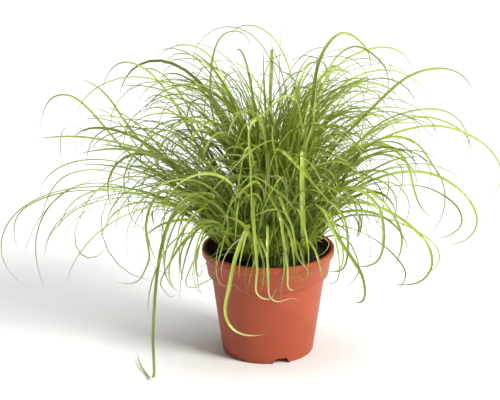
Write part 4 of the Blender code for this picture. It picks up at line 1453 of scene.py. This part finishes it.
@dataclass
class GrassCrown:
    """The plant: for each packed tuft, its measured blades and finer ones drawn round them.

    sight is the way that the photograph's camera looks, and sight_slope how far its line of sight over the
    pot's rim falls for each step to the front. dome has the half-axes of the room that drawn blades stay
    in: side, depth, height above its middle and height below it.
    """

    rings_to_a_blade: int = 11
    same_point: float = 0.02 * MM
    ring_crowding: float = 0.8
    steps: int = 90
    leading_sections: int = 28
    sections: int = 15
    soil_top: float = 89.4 * MM
    root_least_rise: float = 0.4
    crown_radius: float = 34.0 * MM
    foot_scatter: float = 2.2 * MM
    slope_share: float = 0.3
    steepest: float = 88.0
    steepest_range: float = 6.0
    upright_from: float = 68.0
    upright_turn: float = 60.0
    ripple: float = 4.0
    ripple_waves: tuple[float, float] = (0.8, 1.8)
    dried: tuple[float, float] = (0.3, 0.8)
    width_power: float = 1.6
    facing_roll: float = 62.0
    facing_sway: float = 0.35
    accent_twist: float = 50.0
    narrow_below: float = 1.5
    # Painted shade: habits whose blades are all narrower than narrow_below have their tone cut, for the
    # self-shadow of thin strands
    narrow_tone: float = 0.4
    packed_tone: tuple[float, float] = (0.35, 0.95)
    packed_taper: float = 3.8
    taper: tuple[float, float] = (3.2, 7.0)
    straw_tipped: tuple[int, ...] = (31, 32)
    straw_share: float = 0.22
    free_from: int = 4
    clearance: float = 0.3 * MM
    dome_middle: tuple[float, float] = (-14.0 * MM, 100.0 * MM)
    dome: tuple[float, float, float, float] = (232.0 * MM, 184.0 * MM, 206.0 * MM, 130.0 * MM)
    lowest: tuple[float, float] = (66.0 * MM, 112.0 * MM)
    sight: tuple[float, float, float] = (0.0, 0.948, -0.32)
    sight_slope: float = 0.367
    sight_margin: tuple[float, float] = (3.0 * MM, 60.0 * MM)
    front: tuple[int, int] = (31, 36)
    front_short: float = 0.35
    inner_least: float = 0.85
    smooth: float = 50.0
    tries: int = 10
    seed: int = 40
    ribbon: Ribbon = Ribbon()
    pot: NurseryPot = field(default_factory=NurseryPot)
    view: Viewpoint = Viewpoint()

    def rings(self, node: bpy.types.Object) -> list[np.ndarray]:
        """The sections of each blade of a packed tuft, from its sheath to its tip.

        The tip of a blade is a point where three triangles meet. The points one edge away from it are
        its last section, those one edge further are the section before, and so on down to the sheath.

        Args:
            node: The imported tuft, a mesh of loose triangles.

        Returns:
            For each blade an array of shape (sections, 3, 3), with the tip as the last three points.
        """
        mesh = node.data
        corners = np.empty(len(mesh.vertices) * 3, dtype=np.float32)
        mesh.vertices.foreach_get("co", corners)
        mesh.calc_loop_triangles()
        triangles = np.empty(len(mesh.loop_triangles) * 3, dtype=np.int32)
        mesh.loop_triangles.foreach_get("vertices", triangles)
        corners = corners.reshape(-1, 3)
        rounded = np.round(corners / self.same_point)
        _, first, same = np.unique(rounded, axis=0, return_index=True, return_inverse=True)
        points, faces = corners[first], same.ravel()[triangles].reshape(-1, 3)
        near = np.zeros((len(points), len(points)), dtype=bool)
        near[faces, np.roll(faces, 1, axis=1)] = True
        near |= near.T
        blades = []
        for tip in np.flatnonzero(np.bincount(faces.ravel(), minlength=len(points)) == 3):
            layer = np.arange(len(points)) == tip
            seen, found = layer.copy(), [np.repeat(points[layer], 3, axis=0)]
            for _ in range(self.rings_to_a_blade):
                layer = near[layer].any(axis=0) & ~seen
                if layer.sum() != 3:
                    break
                seen |= layer
                found.append(points[layer])
            else:
                blades.append(np.stack(found[::-1]))
        return blades

    def measured(self, node: bpy.types.Object) -> Blades:
        """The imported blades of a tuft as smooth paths.

        Where a blade is widest, its keel is the corner that faces the longest side of the section. In
        each section on from there it is the corner on the same side of the middle as before. A blade's
        middle lies between the other two corners. It is then rolled by facing_roll, less so half-way
        along, to the side that shows more of its face to the camera.

        Args:
            node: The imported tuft.

        Returns:
            The blades.
        """
        paths, sides, widths = [], [], []
        for rings in self.rings(node):
            ups = (rings.sum(axis=1, keepdims=True) - rings) / 2 - rings
            spans = np.linalg.norm(np.roll(rings, -1, axis=1) - np.roll(rings, 1, axis=1), axis=-1)
            rows, start = np.arange(len(rings) - 1), int(np.argmax(spans.max(axis=1)))
            keel = np.full(len(rows), np.argmax(spans[start]))
            for order in (rows[start:], rows[start::-1]):
                for before, at in zip(order, order[1:]):
                    keel[at] = np.argmax(unit(ups[at]) @ unit(ups[before, keel[before]]))
            up = unit(ups[rows, keel])
            up = np.vstack([up, up[-1:]])
            middle = np.vstack([rings[rows, keel] + ups[rows, keel], rings[-1:, 0]])
            paths.append(middle)
            sides.append(unit(np.cross(up, unit(np.gradient(middle, axis=0)))))
            widths.append(spans[rows, keel].max())
        share = (np.arange(self.rings_to_a_blade + 1) / self.rings_to_a_blade) ** self.ring_crowding
        weights = natural_spline(share, np.linspace(0.0, 1.0, self.steps))
        paths, side = self.rooted(weights @ np.array(paths)), unit(weights @ np.array(sides))
        side = np.concatenate([side[:, :1], side], axis=1)
        along = unit(np.gradient(paths, axis=1))
        turns = np.cos(2.0 * np.pi * np.linspace(0.0, 1.0, paths.shape[1]))
        roll = math.radians(self.facing_roll) * (1.0 - self.facing_sway + self.facing_sway * turns)
        options = [rolled(side, along, np.broadcast_to(sign * roll, side.shape[:2])) for sign in (-1, 1)]
        seen = [np.abs(np.cross(option, along) @ self.sight).mean(axis=1) for option in options]
        side = np.where((seen[0] > seen[1])[:, None, None], *options)
        tone, dry = np.zeros(len(widths)), np.zeros(len(widths))
        return Blades(paths, side, np.array(widths), tone, dry, tone + self.packed_taper)

    def laid(self, rows: list[Accent]) -> Blades:
        """The blades of a tuft that stand out.

        Each is a natural spline through its points, whose knots lie apart by the root of the distance
        between the points. Its face looks to the front and turns by accent_twist from foot to tip.

        Args:
            rows: The tuft's accents.

        Returns:
            The blades.
        """
        paths = []
        for row in rows:
            points = self.view.points(row.through)
            apart = np.linalg.norm(np.diff(points, axis=0), axis=1)
            knots = running(apart[None] ** 0.5)[0]
            paths.append(natural_spline(knots, np.linspace(0.0, knots[-1], self.steps)) @ points)
        paths = self.rooted(np.array(paths))
        along = unit(np.gradient(paths, axis=1))
        twist = np.radians(self.accent_twist) * np.linspace(-0.5, 0.5, paths.shape[1])
        side = rolled(unit(np.cross(along, self.sight)), along, np.broadcast_to(twist, paths.shape[:2]))
        width, tone, dry = np.array([(row.width, row.tone, row.dry) for row in rows]).T
        return Blades(paths, side, width * MM, tone, dry, np.full(len(rows), self.packed_taper))

    def rooted(self, paths: np.ndarray) -> np.ndarray:
        """Paths with a first point added where each would leave the soil if it came straight.

        Args:
            paths: Points of each blade, from foot to tip.

        Returns:
            The paths, one point longer.
        """
        way = unit(paths[:, 3] - paths[:, 0])
        way[:, 2] = np.maximum(way[:, 2], self.root_least_rise)
        drop = (paths[:, 0, 2] - self.soil_top)[:, None] / way[:, 2:]
        return np.concatenate([(paths[:, 0] - way * drop)[:, None], paths], axis=1)

    def drawn(self, base: Blades, number: int, habit: Habit, rng: np.random.Generator) -> Blades:
        """Blades of one habit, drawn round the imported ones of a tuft.

        At the share t of its length a blade's slope is s - droop * t^late and its bearing is
        b + swerve * t^2 + a ripple, so its path is the sum of steps (cos slope cos bearing,
        cos slope sin bearing, sin slope). Its across vector is level, and turned about the path by
        roll + roll' * t. s and b come from a packed blade. A steep blade may turn to any side.

        Args:
            base: The tuft's packed blades.
            number: The tuft's number.
            habit: Which kind of blade to draw.
            rng: The tuft's random numbers.

        Returns:
            At most as many blades as the habit's count, all clear of the pot and inside the dome.
        """
        spread, stand = SPREADS[habit], self.stand(number)
        count = self.count_for(number, habit)
        n = self.tries * max(count, 1)
        chord = base.paths[:, int(self.slope_share * self.steps)] - base.paths[:, 0]
        slopes = np.arctan2(chord[:, 2], np.hypot(chord[:, 0], chord[:, 1]))
        lengths = np.linalg.norm(np.diff(base.paths, axis=1), axis=-1).sum(axis=1)
        own = rng.integers(0, len(base.width), n)
        slope = slopes[own] + np.radians(rng.normal(*spread.rise, n))
        slope = np.minimum(slope, np.radians(self.steepest - self.steepest_range * rng.random(n)))[:, None]
        upright = (slope - np.radians(self.upright_from)) / np.radians(90.0 - self.upright_from)
        upright = np.clip(upright, 0.0, 1.0)
        turn = rng.normal(0.0, 1.0, (n, 1)) * (spread.turn + self.upright_turn * upright)
        t = np.linspace(0.0, 1.0, self.steps + 1)[None]
        late = rng.uniform(*spread.late, (n, 1)) + upright
        slope = slope - np.radians(rng.normal(*spread.droop, (n, 1))) * t**late
        turn = turn + rng.normal(0.0, spread.swerve, (n, 1)) * t**2
        wave = np.sin(2.0 * np.pi * (rng.uniform(*self.ripple_waves, (n, 1)) * t + rng.random((n, 1))))
        bearing = bearings(base.paths)[own][:, None] + np.radians(turn) + np.radians(self.ripple) * wave
        along = polar(np.cos(slope), bearing, np.sin(slope))
        length = lengths[own] * stand.length * rng.uniform(*spread.length, n)
        foot = base.paths[rng.integers(0, len(base.width), n), 0]
        foot[:, :2] += rng.normal(0.0, self.foot_scatter, (n, 2))
        away = np.hypot(foot[:, 0], foot[:, 1])
        foot[:, :2] *= np.minimum(1.0, self.crown_radius / np.maximum(away, MM))[:, None]
        paths = foot[:, None] + running(along[:, 1:] * (length / self.steps)[:, None, None])
        roll = rng.normal(0.0, spread.roll, (n, 1)) + rng.normal(0.0, spread.roll, (n, 1)) * t
        side = rolled(polar(1.0, bearing + np.pi / 2, 0.0), along, np.radians(roll))
        dry = (rng.random(n) < spread.dry) * rng.uniform(*self.dried, n)
        low, high = spread.width
        width = low + (high - low) * rng.random(n) ** self.width_power
        # Painted shade: habits of narrow blades get a darker tone
        shade = stand.tone if high > self.narrow_below else stand.tone * self.narrow_tone
        # Painted light and shade: the stand's tone lightens the crown's front and darkens its sides
        tone = rng.random(n) * shade
        made = Blades(paths, side, width * MM, tone, dry, rng.uniform(*self.taper, n))
        return made.chosen(np.flatnonzero(self.allowed(made, habit, rng))[:count])

    def stand(self, number: int) -> Stand:
        """The stand that the tuft with that number belongs to."""
        return next(stand for stand in STANDS if stand.first <= number <= stand.last)

    def count_for(self, number: int, habit: Habit) -> int:
        """How many blades of a habit the tuft with that number has.

        Only the tufts before the pot's middle have stray ones. They have few short ones, so that the
        peat shows, and the others have at least inner_least of the usual number.

        Args:
            number: The tuft's number.
            habit: The habit.

        Returns:
            The number of blades.
        """
        share = self.stand(number).blades
        before = self.front[0] <= number <= self.front[1]
        if habit is Habit.STRAY:
            share = float(before)
        elif habit in (Habit.INNER, Habit.STEM):
            share = self.front_short if before else max(share, self.inner_least)
        return round(share * SPREADS[habit].count)

    def allowed(self, blades: Blades, habit: Habit, rng: np.random.Generator) -> np.ndarray:
        """Which blades suit the plant.

        A blade stays off the pot, above a lowest height of its own and inside the dome
        ((x - x0) / a)^2 + (y / b)^2 + ((z - z0) / c)^2 < 1, where c is smaller below z0 than above it.
        Only a stray one comes before the pot: the others stay above the camera's line of sight over the
        rim, by a margin of their own.

        Args:
            blades: The blades.
            habit: Their habit.
            rng: The tuft's random numbers.

        Returns:
            A mask with a value for each blade.
        """
        points, pot = blades.paths[:, self.free_from:], self.pot
        reach = blades.width[:, None] / 2 + self.clearance
        x, y, z = np.moveaxis(points, -1, 0)
        radius = np.hypot(x, y)
        inside = radius < pot.lip_radius - pot.lip_thickness - reach
        beside = (radius > pot.outside(z) + reach) | (z > pot.height + reach)
        clear = (inside & (z > self.soil_top)) | beside
        (x0, z0), (a, b, c, below) = self.dome_middle, self.dome
        rise = np.where(z > z0, (z - z0) / c, (z0 - z) / below)
        domed = ((x - x0) / a) ** 2 + (y / b) ** 2 + rise**2 < 1.0
        low, margin = (rng.uniform(*span, (len(points), 1)) for span in (self.lowest, self.sight_margin))
        rim = -np.sqrt(np.maximum(pot.lip_radius**2 - x**2, 0.0))
        sight = pot.height + self.sight_slope * (rim - y) + margin
        shows_pot = (np.abs(x) > pot.lip_radius) | (y > rim) | (z > sight)
        fits = clear & domed & (z > low)
        return np.all(fits if habit is Habit.STRAY else fits & shows_pot, axis=1)

    def mesh_of(
        self, name: str, parts: list[tuple[Blades, int]], finish: bpy.types.Material
    ) -> bpy.types.Object:
        """One piece from several sets of blades.

        Args:
            name: The piece's name.
            parts: Sets of blades, each with its number of sections to a blade.
            finish: Their material.

        Returns:
            The piece, with its numbers and its map, on which the sets lie side by side.
        """
        points, faces, numbers, maps = zip(*(self.ribbon.shape(*part) for part in parts))
        starts = np.cumsum([0, *map(len, points[:-1])])
        moved = [face + start for start, some in zip(starts, faces) for face in some]
        piece = new_piece(name, np.vstack(points), moved, finish, Slot.GRASS, self.smooth)
        for label in numbers[0]:
            values = np.concatenate([some[label] for some in numbers]).astype(np.float32)
            piece.data.attributes.new(label, "FLOAT", "POINT").data.foreach_set("value", values)
        counts = np.array([len(blades.width) for blades, _ in parts])
        shares, before = counts / counts.sum(), (np.cumsum(counts) - counts) / counts.sum()
        places = [some * (share, 1.0) + (x, 0.0) for some, share, x in zip(maps, shares, before)]
        places = np.vstack(places)
        piece.data.uv_layers.new(name="OFBake").uv.foreach_set("vector", places.astype(np.float32).ravel())
        return piece

    def build(self, finish: bpy.types.Material) -> list[bpy.types.Object]:
        """Builds one piece of blades for each packed tuft.

        Args:
            finish: The blades' material.

        Returns:
            The pieces.
        """
        names = sorted(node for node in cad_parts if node.startswith("tuft_"))
        pieces = []
        for number, name in enumerate(names, start=1):
            rng = np.random.default_rng((self.seed, number))
            base = self.measured(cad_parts[name])
            # Painted light and shade: the stand's tone lightens the crown's front and darkens its sides
            base.tone = rng.uniform(*self.packed_tone, len(base.tone)) * self.stand(number).tone
            base.dry[:] = self.straw_share if number in self.straw_tipped else 0.0
            drawn = Blades.joined([self.drawn(base, number, habit, rng) for habit in SPREADS])
            accents = [accent for accent in ACCENTS if accent.tuft == number]
            leading = Blades.joined([base, self.laid(accents)]) if accents else base
            parts = [(leading, self.leading_sections), (drawn, self.sections)]
            piece = self.mesh_of(f"blades_{number:02d}", parts, finish)
            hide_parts(name)
            log.info("%s: %d leading blades, %d drawn", piece.name, len(leading.width), len(drawn.width))
            pieces.append(piece)
        return pieces


# The studio


@dataclass(frozen=True)
class Lamp:
    """A square soft light of a given side, in metres, and power, in watts."""

    name: str
    place: tuple[float, float, float]
    size: float
    power: float
    colour: tuple[float, float, float]

    def light(self, aim: tuple[float, float, float]) -> None:
        """Puts the lamp in the scene, facing a point.

        Args:
            aim: The point, in metres.
        """
        data = bpy.data.lights.new(self.name, "AREA")
        data.shape, data.size, data.energy, data.color = "SQUARE", self.size, self.power, self.colour
        lamp = linked(self.name, data)
        way = unit(np.array(aim) - np.array(self.place))
        lamp.location = self.place
        lamp.rotation_euler = (math.acos(-way[2]), 0.0, math.atan2(-way[0], way[1]))


@dataclass
class Studio:
    """A pale floor, a soft key light from the front right, one overhead, and the photograph's camera."""

    floor_size: float = 16.0
    aim: tuple[float, float, float] = (0.0, 0.0, 0.16)
    lamps: tuple[Lamp, ...] = (
        Lamp("key", (3.55, -2.3, 2.9), 1.8, 345.0, (1.0, 0.985, 0.96)),
        Lamp("overhead", (-0.2, 0.3, 3.2), 2.6, 88.0, (0.98, 0.99, 1.0)),
    )
    view: Viewpoint = Viewpoint()
    camera_reach: float = 50.0
    sky: float = 0.14

    def floor(self, finish: bpy.types.Material) -> None:
        """A square floor under the pot's foot.

        Args:
            finish: The floor's material.
        """
        half = self.floor_size / 2
        corners = half * np.array([(-1.0, -1.0, 0.0), (1.0, -1.0, 0.0), (1.0, 1.0, 0.0), (-1.0, 1.0, 0.0)])
        mesh = array_mesh("floor", corners, [np.arange(4)[None]])
        mesh.materials.append(finish)
        linked("floor", mesh)

    def build(self, finish: bpy.types.Material) -> None:
        """Sets up the floor, the lights, the sky and the camera.

        Args:
            finish: The floor's material.
        """
        self.floor(finish)
        for lamp in self.lamps:
            lamp.light(self.aim)
        world = bpy.data.worlds.new("studio white")
        world.use_nodes = True
        back = world.node_tree.nodes["Background"].inputs
        back["Color"].default_value, back["Strength"].default_value = (1.0, 1.0, 1.0, 1.0), self.sky
        scene = bpy.context.scene
        scene.world = world
        scene.view_settings.view_transform = "Standard"
        data = bpy.data.cameras.new("camera")
        data.lens, data.sensor_width = self.view.lens, self.view.film_width
        data.clip_end = self.camera_reach
        scene.camera = linked("camera", data)
        scene.camera.location = self.view.place
        scene.camera.rotation_euler = (math.radians(90.0 - self.view.tilt), 0.0, 0.0)


def main() -> None:
    """Builds the studio, the pot, the peat and the grass."""
    logging.basicConfig(level=logging.INFO, format="%(name)s: %(message)s")
    mottle, relief = mottle_group(), relief_group()
    Studio().build(PaleFloor().material(mottle))
    pot = NurseryPot()
    made = [pot.build(TerracottaPlastic().material(mottle, relief))]
    peat = MoistPeat().material(mottle, relief)
    bed = PeatBed(pot=pot)
    made += [bed.build(peat), bed.scatter(peat)]
    made += GrassCrown(pot=pot).build(LivingBlade().material(mottle))
    for piece in made:
        log.info("%s: %d faces", piece.name, len(piece.data.polygons))


if __name__ == "__main__":
    main()
